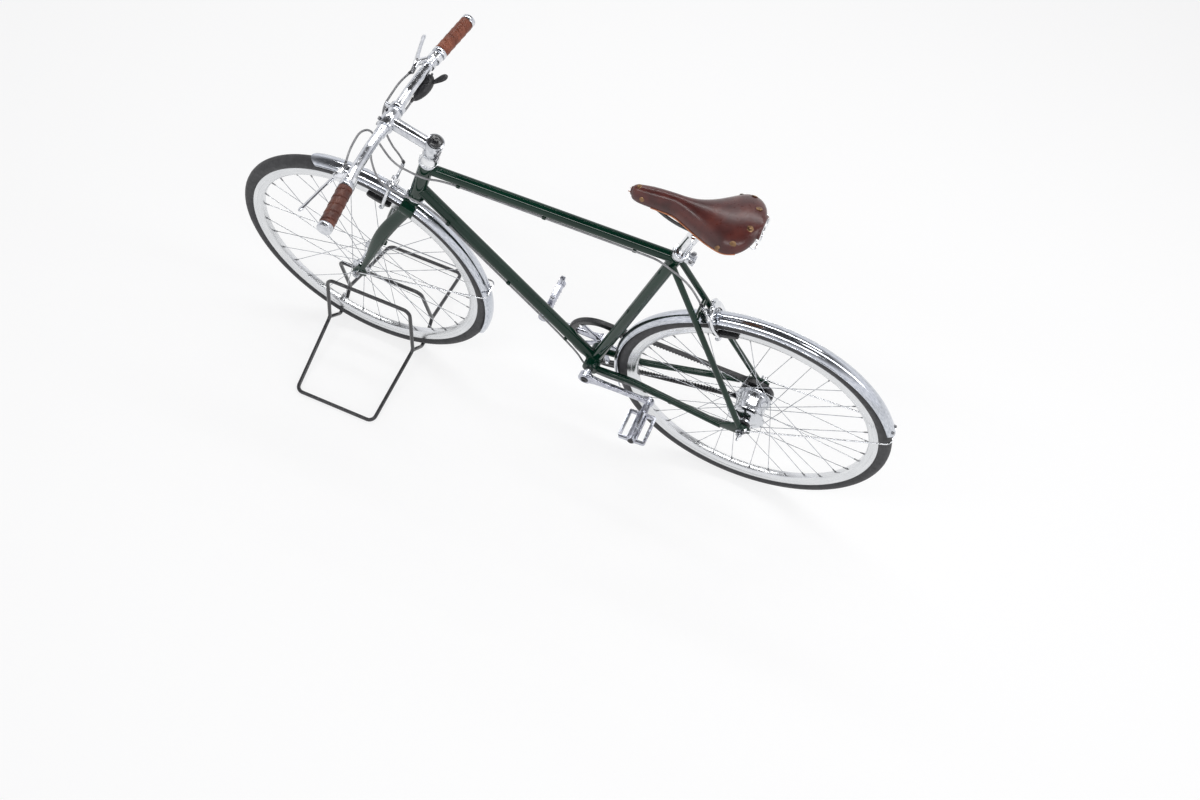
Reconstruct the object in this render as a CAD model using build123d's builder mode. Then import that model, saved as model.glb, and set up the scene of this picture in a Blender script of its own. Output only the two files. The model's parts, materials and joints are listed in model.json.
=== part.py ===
"""City bicycle with a toothed-belt drive, standing in a wire display stand.

Millimetres. X runs from the front of the bicycle to its back, Y to its right, Z up from the floor.
Places on the bicycle are given as at(ahead of the rear axle, to the left, above the floor).
"""
import os
from math import atan2, cos, pi, radians, sin, sqrt, tan

from build123d import *

os.makedirs("parts", exist_ok=True)

# ---------------------------------------------------------------- driving dimensions
# wheels
wheel_radius = 341.0          # to the tread
wheelbase = 1030.0
tyre_width = 32.0
tyre_height = 27.5            # tread to the edge of the rim wall
rim_width = 24.0
rim_depth = 25.0
spoke_radius = 0.9
front_spokes = 32
rear_spokes = 36
front_hub_width = 100.0       # between the dropouts
rear_hub_width = 132.0
hub_flange_radius = 44.0      # rear hub
hub_cap_radius = 17.5
axle_radius = 5.0
axle_stub = 30.0              # each end of the rear axle, beyond its dropout

# frame
bracket_drop = 54.0           # bottom bracket, below the axles
seat_angle = 73.3
head_angle = 72.25
fork_rake = 60.7
head_tube_length = 135.0
head_tube_radius = 17.0
top_tube_radius = 12.7
down_tube_radius = 14.3
seat_tube_radius = 14.3
tube_wall = 1.0
seat_tube_length = 562.0      # bottom bracket to the top of the seat tube
top_tube_below = 21.5         # top tube axis below the ends of the head tube and the seat tube
down_tube_above = 34.0        # down tube axis above the foot of the head tube
shell_radius = 20.0
shell_width = 68.0
spindle_radius = 8.5
chainstay_radius = 8.5
seatstay_radius = 7.0
dropout_thickness = 5.0

# steering
steerer_radius = 14.3
cup_radius = 21.0
cup_height = 10.0             # upper cup, above the head tube
cover_height = 28.7           # headset cover, between the upper cup and the stem
stem_reach = 105.0
stem_clamp_height = 42.0
stem_radius = 14.0
bar_radius = 11.1
bar_centre_radius = 12.7
bar_half_width = 303.0
grip_length = 98.0
grip_radius = 15.6

# drive
belt_offset = 48.0            # belt centre to the right of the frame's middle
belt_width = 12.0
belt_thickness = 3.0
belt_pitch = 8.0
front_teeth = 73
rear_teeth = 32
crank_length = 170.0
crank_tread = 66.0            # outer face of each crank, from the middle
crank_angle = 4.0             # the left crank points back and this far up
pedal_width = 96.0
pedal_length = 80.0
pedal_height = 24.0
left_pedal_tilt, right_pedal_tilt = 6.0, 82.0

# fenders
fender_width = 38.0
fender_sheet = 1.2
front_fender_from, front_fender_to = -22.0, 105.5   # degrees up from the rear of the wheel
rear_fender_from, rear_fender_to = 22.0, 200.0
stay_radius = 2.0

# saddle
seatpost_radius = 13.6
seatpost_out = 98.0           # from the top of the seat tube to the clamp under the rails
rail_radius = 3.5
rail_half_gap = 22.0
rail_rise = 11.0              # rails above that clamp's place
leather_thickness = 4.5

# stand
rod_radius = 5.0
stand_half_length = 121.0
stand_left_width, stand_right_width = 272.0, 255.0
hoop_half_gap = 32.0
hoop_height = 208.0

# clearances
bearing_gap = 0.06            # a shaft in its bore
face_gap = 0.3                # faces that turn past each other
fender_gap = 9.5              # tread to fender
crown_gap = 5.7               # fender to fork crown
seat_tube_gap = 3.8           # fender to seat tube
rest_gap = 4.9                # tyre to the stand's links
pad_gap = 2.0                 # brake pad to rim
belt_gap = 0.3                # belt to pulley

# ---------------------------------------------------------------- places worked out from them
rear_axle_x = wheelbase / 2
across = Vector(0, 1, 0)
rim_radius = wheel_radius - tyre_height
fender_radius = wheel_radius + fender_gap
crown_thickness = 27.0
fork_length = crown_thickness + sqrt((fender_radius + crown_gap) ** 2 - fork_rake ** 2)
bracket_height = wheel_radius - bracket_drop
bracket_ahead = (fender_radius + seat_tube_gap + seat_tube_radius
                 + bracket_drop * cos(radians(seat_angle))) / sin(radians(seat_angle))
stem_height = head_tube_length + cup_height + face_gap + cover_height + stem_clamp_height / 2
rear_axle = Vector(rear_axle_x, 0, wheel_radius)
front_axle = Vector(rear_axle_x - wheelbase, 0, wheel_radius)
bracket = Vector(rear_axle_x - bracket_ahead, 0, bracket_height)
steering_axis = Vector(cos(radians(head_angle)), 0, sin(radians(head_angle)))
steering_ahead = Vector(-sin(radians(head_angle)), 0, cos(radians(head_angle)))
head_foot = front_axle + steering_axis * fork_length - steering_ahead * fork_rake
seat_axis = Vector(cos(radians(seat_angle)), 0, sin(radians(seat_angle)))
seat_top = bracket + seat_axis * seat_tube_length
pitch_depth = 1.5             # belt's pitch line outside the pulley's rim
front_pulley_radius = front_teeth * belt_pitch / (2 * pi) - pitch_depth
rear_pulley_radius = rear_teeth * belt_pitch / (2 * pi) - pitch_depth


def at(ahead, left, up):
    """A place given ahead of the rear axle, to the left and above the floor."""
    return Vector(rear_axle_x - ahead, -left, up)


def on_steerer(up, ahead=0.0, left=0.0):
    """A place given along the steering axis from the foot of the head tube, ahead of it and to the left."""
    return head_foot + steering_axis * up + steering_ahead * ahead - across * left


def finish(piece, name):
    """Labels a finished piece and writes its file."""
    piece.part.label = name
    export_step(piece.part, f"parts/{name}.step")


def rod(start, end, radius, bore=0.0):
    """A round rod, or a tube, from start to end."""
    start, end = Vector(*start), Vector(*end)
    with BuildPart() as piece:
        with BuildSketch(Plane(origin=start, z_dir=end - start)):
            Circle(radius)
            if bore:
                Circle(bore, mode=Mode.SUBTRACT)
        extrude(amount=(end - start).length)
    return piece.part


def turned(outline, centre, axis):
    """A turned piece. The outline gives (distance along the axis, radius) from the centre."""
    side = across if abs(axis.Y) < 0.5 else Vector(1, 0, 0)
    with BuildPart() as piece:
        with BuildSketch(Plane(origin=centre, x_dir=axis, z_dir=side)):
            with BuildLine():
                Polyline(*outline, close=True)
            make_face()
        revolve(axis=Axis(centre, axis))
    return piece.part


def bend_radii(points):
    """The largest arc that each corner's two runs allow."""
    radii = []
    for before, corner, after in zip(points, points[1:], points[2:]):
        run_in, run_out = corner - before, after - corner
        half_turn = radians(run_in.get_angle(run_out)) / 2
        radii.append(0.45 * min(run_in.length, run_out.length) / tan(half_turn))
    return radii


def bent_rod(points, radius, radii=None):
    """A rod bent along a route, with the given arcs or the largest that fit."""
    points = [Vector(*p) for p in points]
    with BuildPart() as piece:
        with BuildLine() as route:
            FilletPolyline(*points, radius=radii or bend_radii(points))
        with BuildSketch(Plane(origin=route.line @ 0, z_dir=route.line % 0)):
            Circle(radius)
        sweep(path=route.line)
    return piece.part


def hexagon(centre, axis, across_flats, height):
    """A nut with its seat on centre."""
    with BuildPart() as piece:
        with BuildSketch(Plane(origin=centre, z_dir=axis)):
            RegularPolygon(across_flats / 2, 6, major_radius=False)
        extrude(amount=height)
    return piece.part


# ---------------------------------------------------------------- wheels
def tyre(axle, name):
    bulb = tyre_width / 2
    bulb_centre = wheel_radius - bulb
    edge = rim_radius + 0.3
    bead_width = rim_width - 3.4
    with BuildPart() as piece:
        with BuildSketch(Plane(origin=axle, x_dir=across, z_dir=(1, 0, 0))):
            with Locations((0, bulb_centre)):
                Circle(bulb)
            with Locations((0, edge)):
                Rectangle(tyre_width * 2, tyre_width, align=(Align.CENTER, Align.MAX), mode=Mode.SUBTRACT)
                Rectangle(bead_width, 5.5, align=(Align.CENTER, Align.MAX))
        revolve(axis=Axis(axle, across))
    finish(piece, name)


def rim(axle, name):
    half, wall, seat = rim_width / 2, 1.5, rim_radius - 6.0
    inner = rim_radius - rim_depth
    outline = [(-half, rim_radius), (-half, inner + 6), (-half / 2, inner), (half / 2, inner),
               (half, inner + 6), (half, rim_radius), (half - wall, rim_radius), (half - wall, seat),
               (wall - half, seat), (wall - half, rim_radius)]
    with BuildPart() as piece:
        add(turned(outline, axle, across))
    finish(piece, name)


def spokes(axle, count, flange_radius, flange_offset, name):
    """Spokes crossed three times, heads in and heads out by turns. None touches another."""
    start_radius = flange_radius + spoke_radius + 0.05
    end = rim_radius - rim_depth - 0.15
    with BuildPart() as piece:
        for hole in range(count):
            side = 1 if hole % 2 else -1
            lead = 1 if hole % 4 < 2 else -1
            rim_turn = 2 * pi * hole / count
            hub_turn = rim_turn + lead * 6 * pi / count * 2
            level = side * (flange_offset + lead * 1.8)
            start = axle + Vector(start_radius * cos(hub_turn), level, start_radius * sin(hub_turn))
            stop = axle + Vector(end * cos(rim_turn), side * 2.5, end * sin(rim_turn))
            add(rod(start, stop, spoke_radius))
    finish(piece, name)


def front_wheel():
    half = front_hub_width / 2
    flange, flange_half, bore = 31.0, 1.5, axle_radius + bearing_gap
    tyre(front_axle, "front_tyre")
    rim(front_axle, "front_rim")
    spokes(front_axle, front_spokes, 23.0, flange, "front_spokes")
    shell = [(-half + 6.5, bore), (-half + 6.5, 12), (-flange - flange_half, 14), (-flange - flange_half, 23),
             (flange_half - flange, 23), (flange_half - flange, 13), (0, 11.5), (flange - flange_half, 13),
             (flange - flange_half, 23), (flange + flange_half, 23), (flange + flange_half, 14),
             (half - 6.5, 12), (half - 6.5, bore)]
    with BuildPart() as hub:
        add(turned(shell, front_axle, across))
    finish(hub, "front_hub")


def rear_wheel():
    half = rear_hub_width / 2
    flange, flange_half, bore = 27.0, 1.8, axle_radius + bearing_gap
    tyre(rear_axle, "rear_tyre")
    rim(rear_axle, "rear_rim")
    rise, waist = hub_flange_radius, hub_flange_radius - 8
    spokes(rear_axle, rear_spokes, rise, flange, "rear_spokes")
    left, right = -half + 18.0, belt_offset - belt_width / 2 - 6.0
    shell = [(left, bore), (left, 11), (left + 8, 13), (left + 15, 26), (-flange - flange_half, waist - 4),
             (-flange - flange_half, rise), (flange_half - flange, rise), (flange_half - flange, waist),
             (-6, waist + 1), (6, waist + 1), (flange - flange_half, waist), (flange - flange_half, rise),
             (flange + flange_half, rise), (flange + flange_half, waist - 2), (right, 30), (right, bore)]
    with BuildPart() as hub:
        add(turned(shell, rear_axle, across))
    finish(hub, "rear_hub")


def front_axle_set():
    """Axle, cones and nuts, fixed in the fork."""
    half = front_hub_width / 2
    with BuildPart() as piece:
        add(rod(front_axle - across * (half + 16), front_axle + across * (half + 16), axle_radius))
        for side in (-1, 1):
            face = front_axle + across * side * half
            add(rod(face - across * side * (6.5 - face_gap), face, 8.0))
            add(hexagon(face + across * side * dropout_thickness, across * side, 15, 9))
    finish(piece, "front_axle")


def rear_axle_set():
    half = rear_hub_width / 2
    with BuildPart() as piece:
        add(rod(rear_axle - across * (half + 18), rear_axle + across * (half + 18), axle_radius))
        add(rod(rear_axle - across * (half + axle_stub), rear_axle + across * (half + axle_stub), 2.8))
        add(rod(rear_axle + across * (half - 5), rear_axle + across * half, 9.0))
        for side in (-1, 1):
            face = rear_axle + across * side * (half + dropout_thickness)
            add(hexagon(face, across * side, 15, 10))
    finish(piece, "rear_axle")


# ---------------------------------------------------------------- frame
def frame_tubes():
    head_top = on_steerer(head_tube_length)
    top_front = on_steerer(head_tube_length - top_tube_below)
    top_rear = seat_top - seat_axis * top_tube_below
    down_front = on_steerer(down_tube_above)
    head_solid = rod(head_foot - steering_axis, head_top + steering_axis, head_tube_radius)
    seat_solid = rod(bracket, seat_top + seat_axis, seat_tube_radius)
    shell_solid = rod(bracket - across * shell_width / 2, bracket + across * shell_width / 2, shell_radius)

    with BuildPart() as head_tube:
        add(rod(head_foot, head_top, head_tube_radius, head_tube_radius - 2 * tube_wall))
    finish(head_tube, "head_tube")

    with BuildPart() as shell:
        add(rod(bracket - across * shell_width / 2, bracket + across * shell_width / 2, shell_radius,
                spindle_radius + bearing_gap))
    finish(shell, "bottom_bracket_shell")

    with BuildPart() as seat_tube:
        add(rod(bracket, seat_top, seat_tube_radius, seatpost_radius + bearing_gap))
        add(shell_solid, mode=Mode.SUBTRACT)
    finish(seat_tube, "seat_tube")

    with BuildPart() as top_tube:
        add(rod(top_front, top_rear, top_tube_radius, top_tube_radius - tube_wall))
        add(head_solid, mode=Mode.SUBTRACT)
        add(seat_solid, mode=Mode.SUBTRACT)
    finish(top_tube, "top_tube")

    with BuildPart() as down_tube:
        add(rod(bracket, down_front, down_tube_radius, down_tube_radius - tube_wall))
        add(head_solid, mode=Mode.SUBTRACT)
        add(shell_solid, mode=Mode.SUBTRACT)
        add(seat_solid, mode=Mode.SUBTRACT)
    finish(down_tube, "down_tube")


stay_end_ahead = 48.0                      # the chainstays stop this far ahead of the axle
eyelet_radius = 2.5
eyelet_rear = (15.5, 12.5)                 # behind and above the rear axle
eyelet_front = (-17.0, 14.0)               # behind the front axle, and above it along the steering axis
bridge_share = 0.68                        # the brake bridge's place up the seatstays


def dropout_middle(side):
    """Middle of a dropout plate, on the left (-1) or the right (1)."""
    return side * (rear_hub_width + dropout_thickness) / 2


def seatstay_ends(side):
    foot = Vector(rear_axle_x - 8, dropout_middle(side), wheel_radius + 22)
    top = seat_top - seat_axis * 31.0
    return foot, top + across * side * 14.0


def rear_triangle():
    seat_solid = rod(bracket, seat_top, seat_tube_radius)
    shell_solid = rod(bracket - across * 45, bracket + across * 45, shell_radius)
    slope = atan2(wheel_radius - bracket_height, bracket_ahead)
    stays, plates = [], []
    for side, word in ((-1, "left"), (1, "right")):
        y = dropout_middle(side)
        foot = bracket + Vector(0, side * 27.0, 0)
        bend = foot + Vector(112 * cos(slope), side * 3.0, 112 * sin(slope))
        end = Vector(rear_axle_x - stay_end_ahead, y, wheel_radius - stay_end_ahead * tan(slope))
        seat_foot, seat_end = seatstay_ends(side)
        with BuildPart() as chainstay:
            with BuildSketch(Plane(origin=(rear_axle_x, y - dropout_thickness / 2, wheel_radius),
                                   x_dir=(1, 0, 0), z_dir=(0, -1, 0))):
                with BuildLine():
                    Polyline((-stay_end_ahead - 8, -14), (-stay_end_ahead - 8, 0), (-17, 27), (4, 30),
                             (22, 20), (22, 7), (12, 1), (9, -9), (0, -13), close=True)
                make_face()
                with Locations(eyelet_rear):
                    Circle(eyelet_radius, mode=Mode.SUBTRACT)
            extrude(amount=-dropout_thickness)
            add(bent_rod([foot, bend, end], chainstay_radius, [300.0]))
            add(shell_solid, mode=Mode.SUBTRACT)
            add(rod(rear_axle - across * 90, rear_axle + across * 90, axle_radius), mode=Mode.SUBTRACT)
        finish(chainstay, f"{word}_chainstay")
        stays.append(rod(seat_foot, seat_end, seatstay_radius))
        plates.append(chainstay.part)
    left, right = seatstay_ends(-1), seatstay_ends(1)
    bridge_left = left[0] + (left[1] - left[0]) * bridge_share
    bridge_middle = Vector(bridge_left.X, 0, bridge_left.Z)
    with BuildPart() as seatstays:
        add(stays[0])
        add(stays[1])
        add(rod(bridge_left, right[0] + (right[1] - right[0]) * bridge_share, 6.0))
        add(rod(bridge_middle, bridge_middle + (rear_axle - bridge_middle).normalized() * 40, 5.0))
        add(rod(rear_axle - across * 20, rear_axle + across * 20, fender_radius + face_gap),
            mode=Mode.SUBTRACT)
        add(seat_solid, mode=Mode.SUBTRACT)
        add(plates[0], mode=Mode.SUBTRACT)
        add(plates[1], mode=Mode.SUBTRACT)
    finish(seatstays, "seatstays")


def headset():
    bore = steerer_radius + bearing_gap
    inner = head_tube_radius - 2 * tube_wall
    with BuildPart() as cups:
        add(turned([(-9, bore), (-9, 19), (-6, cup_radius), (0, cup_radius), (0, inner), (12, inner),
                    (12, bore)], head_foot, steering_axis))
        add(turned([(-12, bore), (-12, inner), (0, inner), (0, cup_radius), (cup_height - 3, cup_radius),
                    (cup_height, 19), (cup_height, bore)], on_steerer(head_tube_length), steering_axis))
    finish(cups, "headset_cups")
    cover_foot = head_tube_length + cup_height + face_gap
    clamp_foot = stem_height - stem_clamp_height / 2
    with BuildPart() as cover:
        add(turned([(cover_foot, steerer_radius), (cover_foot, cup_radius), (cover_foot + 5, cup_radius),
                    (clamp_foot - 6, 16.5), (clamp_foot, 16.5), (clamp_foot, steerer_radius)],
                   head_foot, steering_axis))
    finish(cover, "headset_cover")


crown_front = 19.0
brake_front = 54.0            # the front brake's arms, ahead of the steering axis
brake_rear = 29.0             # the rear brake's arms, behind the seatstays' bridge
crown_foot = -40.0


def fork():
    blade_stations = [          # along the steering axis, ahead of it, aside, half length, half width
        (crown_foot, 5.0, 30.0, 16.0, 9.2),
        (-90, 18.0, 33.5, 16.5, 10.0),
        (-140, 29.5, 37.5, 17.0, 10.5),
        (-250, 43.0, 43.5, 12.5, 9.0),
        (-352, 54.5, 51.0, 7.0, 6.5),
    ]
    with BuildPart() as steerer:
        add(rod(on_steerer(-14), on_steerer(stem_height + stem_clamp_height / 2 - 1), steerer_radius))
        add(rod(on_steerer(-14), on_steerer(-9 - face_gap), 18.8))
        with BuildSketch(Plane(origin=on_steerer(0, -15), x_dir=across, z_dir=steering_ahead)):
            with BuildLine():
                Polyline((-19, 13), (19, 13), (34, 20), (39.5, 30), (39.5, -crown_foot), (20.5, -crown_foot),
                         (20.5, crown_thickness), (-20.5, crown_thickness), (-20.5, -crown_foot),
                         (-39.5, -crown_foot), (-39.5, 30), (-34, 20), close=True)
            make_face()
        extrude(amount=crown_front + 15)
        add(rod(on_steerer(-20), on_steerer(-60), 6.0))
        add(rod(front_axle - across * 20.5, front_axle + across * 20.5, fender_radius + face_gap),
            mode=Mode.SUBTRACT)
    finish(steerer, "fork_steerer")
    for side, word in ((-1, "left"), (1, "right")):
        plate_y = side * (front_hub_width + dropout_thickness) / 2
        with BuildPart() as blade:
            for up, ahead, aside, half_length, half_width in blade_stations:
                with BuildSketch(Plane(origin=on_steerer(up, ahead, -side * aside), x_dir=steering_ahead,
                                       z_dir=steering_axis)):
                    Ellipse(half_length, half_width)
            loft()
            with BuildSketch(Plane(origin=(front_axle.X, plate_y + dropout_thickness / 2, front_axle.Z),
                                   x_dir=steering_ahead, z_dir=(0, 1, 0))):
                with BuildLine():
                    Polyline((-12, 38), (2, 42), (12, 12), (13, -6), (6, -14), (-8, -12), (-14, 2), (-24, 8),
                             (-24, 20), close=True)
                make_face()
                with Locations(eyelet_front):
                    Circle(eyelet_radius, mode=Mode.SUBTRACT)
            extrude(amount=-dropout_thickness)
            add(rod(front_axle - across * 90, front_axle + across * 90, axle_radius), mode=Mode.SUBTRACT)
        finish(blade, f"{word}_fork_blade")


# ---------------------------------------------------------------- handlebar
bar_middle = on_steerer(stem_height, stem_reach)


def by_bar(ahead, left, up):
    """A place given ahead of the bar's middle, to its left and above it."""
    return bar_middle + Vector(-ahead, -left, up)


bar_end = by_bar(-29, bar_half_width, 20.3)
bar_half = [by_bar(0, 30, 0.6), by_bar(-0.4, 85, 2.8), by_bar(-8.4, 155, 12.8), bar_end]
bar_route = [Vector(p.X, -p.Y, p.Z) for p in reversed(bar_half)] + bar_half
bar_run = (bar_end - bar_route[-2]).normalized()


def on_bar(aside, side):
    """A place on the bar's straight end run, on the left (-1) or the right (1)."""
    place = bar_end - bar_run * ((-bar_end.Y - aside) / -bar_run.Y)
    return Vector(place.X, side * -place.Y, place.Z)


def steering_parts():
    clamp_foot, clamp_top = stem_height - stem_clamp_height / 2, stem_height + stem_clamp_height / 2
    bar = bent_rod(bar_route, bar_radius, [120.0, 60.0, 400.0, 400.0, 60.0, 120.0])
    with BuildPart() as stem:
        add(rod(on_steerer(clamp_foot), on_steerer(clamp_top), 19.0))
        add(rod(on_steerer(stem_height), bar_middle, stem_radius))
        add(rod(bar_middle - across * 21, bar_middle + across * 21, 17.5))
        add(rod(on_steerer(0), on_steerer(clamp_top - 1), steerer_radius), mode=Mode.SUBTRACT)
        add(rod(bar_middle - across * 30, bar_middle + across * 30, bar_centre_radius), mode=Mode.SUBTRACT)
    finish(stem, "stem")
    with BuildPart() as cap:
        add(turned([(clamp_top, 0), (clamp_top, 15.5), (clamp_top + 3, 15.5), (clamp_top + 6, 12),
                    (clamp_top + 6, 5), (clamp_top + 9, 5), (clamp_top + 9, 0)], head_foot, steering_axis))
    finish(cap, "stem_cap")
    with BuildPart() as handlebar:
        add(bar)
        add(rod(bar_middle - across * 42, bar_middle + across * 42, bar_centre_radius))
    finish(handlebar, "handlebar")
    tip = bar_half_width
    with BuildPart() as rings:
        for side in (-1, 1):
            add(rod(on_bar(tip - grip_length - 9, side), on_bar(tip - grip_length, side), 16.0, bar_radius))
            add(rod(on_bar(tip, side), on_bar(tip + 9, side), 15.6))
            add(rod(on_bar(tip + 9, side), on_bar(tip + 11, side), 14.6))
    finish(rings, "grip_rings")
    for side, word in ((-1, "left"), (1, "right")):
        with BuildPart() as grip:
            add(rod(on_bar(tip - grip_length, side), on_bar(tip, side), grip_radius, bar_radius))
        finish(grip, f"{word}_grip")
    with BuildPart() as band:
        add(rod(bar_middle + across * 29, bar_middle + across * 41, 16.5))
        add(rod(bar_middle + Vector(-8, 35, 0), bar_middle + Vector(-26, 35, 4), 5.0))
        add(rod(bar_middle + across * 20, bar_middle + across * 50, bar_centre_radius), mode=Mode.SUBTRACT)
    finish(band, "accessory_clamp")


def lever(side, name):
    ring = on_bar(184, side)

    def place(ahead, aside, up):
        return by_bar(ahead, -side * aside, up)

    pivot = place(24.6, 172, -1.2)
    with BuildPart() as piece:
        add(rod(on_bar(177, side), on_bar(191, side), 15.5))
        add(rod(ring + (pivot - ring) * 0.25, pivot, 8.0))
        add(rod(pivot, place(22.6, 150, -1.2), 6.0))
        add(rod(place(22.6, 150, -1.2), place(21.6, 145, -0.7), 4.5))
        add(bent_rod([pivot, place(36.6, 196, -8.2), place(57.6, 264, -22.2)], 5.0, [60.0]))
        add(rod(on_bar(150, side), on_bar(220, side), bar_radius), mode=Mode.SUBTRACT)
    finish(piece, name)


def shifter():
    pod_outer, pod_inner = by_bar(-13.4, -150, -12.2), by_bar(-10.4, -92, -20.2)
    with BuildPart() as piece:
        add(rod(on_bar(159, 1), on_bar(166, 1), 14.0))
        add(rod(pod_outer, pod_inner, 12.0))
        add(rod(on_bar(162.5, 1), by_bar(-13.4, -146, -12.2), 4.5))
        add(bent_rod([by_bar(-17.4, -142, -13.2), by_bar(-35.4, -152, -8.2), by_bar(-52.4, -162, -1.2)], 4.5,
                     [15.0]))
        add(rod(on_bar(150, 1), on_bar(180, 1), bar_radius + face_gap), mode=Mode.SUBTRACT)
    finish(piece, "gear_shifter")


# ---------------------------------------------------------------- brakes
pad_lead = 14.0               # the pads' middles, further out than the arms
front_stop = at(905, -40, 722)
rear_stop = at(170, 2, 676)


def calliper(pivot, outward, upward, axle, stand_off, stop, name):
    """A side-pull brake. Its arms straddle the wheel in a plane that outward is the normal of."""
    arch_inner, depth = fender_width / 2 + 4.0, 9.0
    arch_outer, arch_drop = arch_inner + 10.0, arch_inner + 5.5
    track = rim_radius - 7.0
    up_share, off_plane = (pivot - axle).dot(upward), (pivot - axle).dot(outward) + depth / 2
    arm_height = sqrt(track ** 2 - off_plane ** 2) - up_share
    pad_height = sqrt(track ** 2 - (off_plane + pad_lead) ** 2) - up_share
    arm_end = pivot + upward * arm_height + outward * depth / 2
    pad_centre = pivot + upward * pad_height + outward * (depth / 2 + pad_lead)
    face = rim_width / 2 + pad_gap
    with BuildPart() as arms:
        with BuildSketch(Plane(origin=pivot, x_dir=across, z_dir=across.cross(upward))):
            with Locations((0, -arch_drop)):
                Circle(arch_outer)
                Circle(arch_inner, mode=Mode.SUBTRACT)
                Rectangle(200, 100, align=(Align.CENTER, Align.MAX), mode=Mode.SUBTRACT)
            for side in (-1, 1):
                with Locations((side * (arch_inner + arch_outer) / 2, -arch_drop)):
                    Rectangle(arch_outer - arch_inner, -arm_height - arch_drop + 6,
                              align=(Align.CENTER, Align.MAX))
        extrude(amount=depth if across.cross(upward).dot(outward) > 0 else -depth)
        add(rod(pivot - outward * stand_off, pivot + outward * (depth + 9), 7.0))
        shoulder = pivot + outward * depth / 2 - upward * 5 + across * 27 * (1 if stop.Y > pivot.Y else -1)
        add(rod(shoulder, stop + (shoulder - stop).normalized() * 3, 4.5))
        for side in (-1, 1):
            add(rod(arm_end + across * side * (face + 7), arm_end + across * side * (arch_inner + 2), 4.5))
    finish(arms, name)
    radial = (pad_centre - axle).normalized()
    with BuildPart() as pads:
        for side in (-1, 1):
            with BuildSketch(Plane(origin=pad_centre + across * side * face, x_dir=radial,
                                   z_dir=across * side)):
                RectangleRounded(11, 60, 3)
            extrude(amount=7)
    finish(pads, name + "_pads")


stay_line = (seatstay_ends(-1)[1] - seatstay_ends(-1)[0])
stay_up = Vector(stay_line.X, 0, stay_line.Z).normalized()
stay_out = across.cross(stay_up)


def brakes():
    front_pivot = on_steerer(-19.5, brake_front)
    calliper(front_pivot, steering_ahead, steering_axis, front_axle, brake_front - crown_front, front_stop,
             "front_brake")
    foot = seatstay_ends(-1)[0]
    bridge = foot + stay_line * bridge_share
    rear_pivot = Vector(bridge.X, 0, bridge.Z) + stay_out * brake_rear
    calliper(rear_pivot, stay_out, stay_up, rear_axle, brake_rear - 6.2, rear_stop, "rear_brake")


# ---------------------------------------------------------------- fenders
def fender(axle, start, stop, name):
    half, crown, lip = fender_width / 2, fender_radius, fender_radius - 10.5
    a = radians(start)
    with BuildPart() as piece:
        with BuildSketch(Plane(origin=axle, x_dir=across, z_dir=(sin(a), 0, -cos(a)))) as section:
            with BuildLine():
                outer = ThreePointArc((-half, lip), (0, crown), (half, lip))
                inner = ThreePointArc((-half + fender_sheet, lip), (0, crown - fender_sheet),
                                      (half - fender_sheet, lip))
                Line((-half, lip), (-half + fender_sheet, lip))
                Line((half, lip), (half - fender_sheet, lip))
            make_face()
        revolve(axis=Axis(axle, -across), revolution_arc=stop - start)
    return piece


def round_wheel(axle, angle, radius, aside):
    a = radians(angle)
    return axle + Vector(radius * cos(a), aside, radius * sin(a))


def fenders():
    finish(fender(front_axle, front_fender_from, front_fender_to, "front_fender"), "front_fender")
    finish(fender(rear_axle, rear_fender_from, rear_fender_to, "rear_fender"), "rear_fender")
    out = fender_radius + stay_radius + 0.2
    front_foot = front_axle - steering_ahead * 4 + steering_axis * 17
    front_face = front_hub_width / 2 + dropout_thickness
    rear_face = rear_hub_width / 2 + dropout_thickness
    for axle, foot, face, angle, radius, name in (
            (front_axle, front_foot, front_face, 11.0, out, "front_fender_stay"),
            (rear_axle, rear_axle + Vector(10, 0, 21), rear_face, rear_fender_from - 0.8, fender_radius - 4,
             "rear_fender_stay")):
        y = face + 4.5
        route = [foot - across * y, round_wheel(axle, angle, radius, -27.0),
                 round_wheel(axle, angle, radius, 27.0), foot + across * y]
        with BuildPart() as stay:
            add(bent_rod(route, stay_radius, [14.0, 14.0]))
            for side in (-1, 1):
                add(rod(foot + across * side * (face + 0.05), foot + across * side * (y + 3), 4.5))
        finish(stay, name)


# ---------------------------------------------------------------- drive
def belt_loop(shift):
    """The outline of both pulleys with a tight band round them, grown by shift."""
    side_plane = Plane(origin=(0, belt_offset - belt_width / 2, 0), x_dir=(1, 0, 0), z_dir=(0, -1, 0))
    with BuildSketch(side_plane) as s:
        with Locations((bracket.X, bracket.Z)):
            Circle(front_pulley_radius + shift)
        with Locations((rear_axle.X, rear_axle.Z)):
            Circle(rear_pulley_radius + shift)
        make_hull()
    return s.sketch


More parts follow.
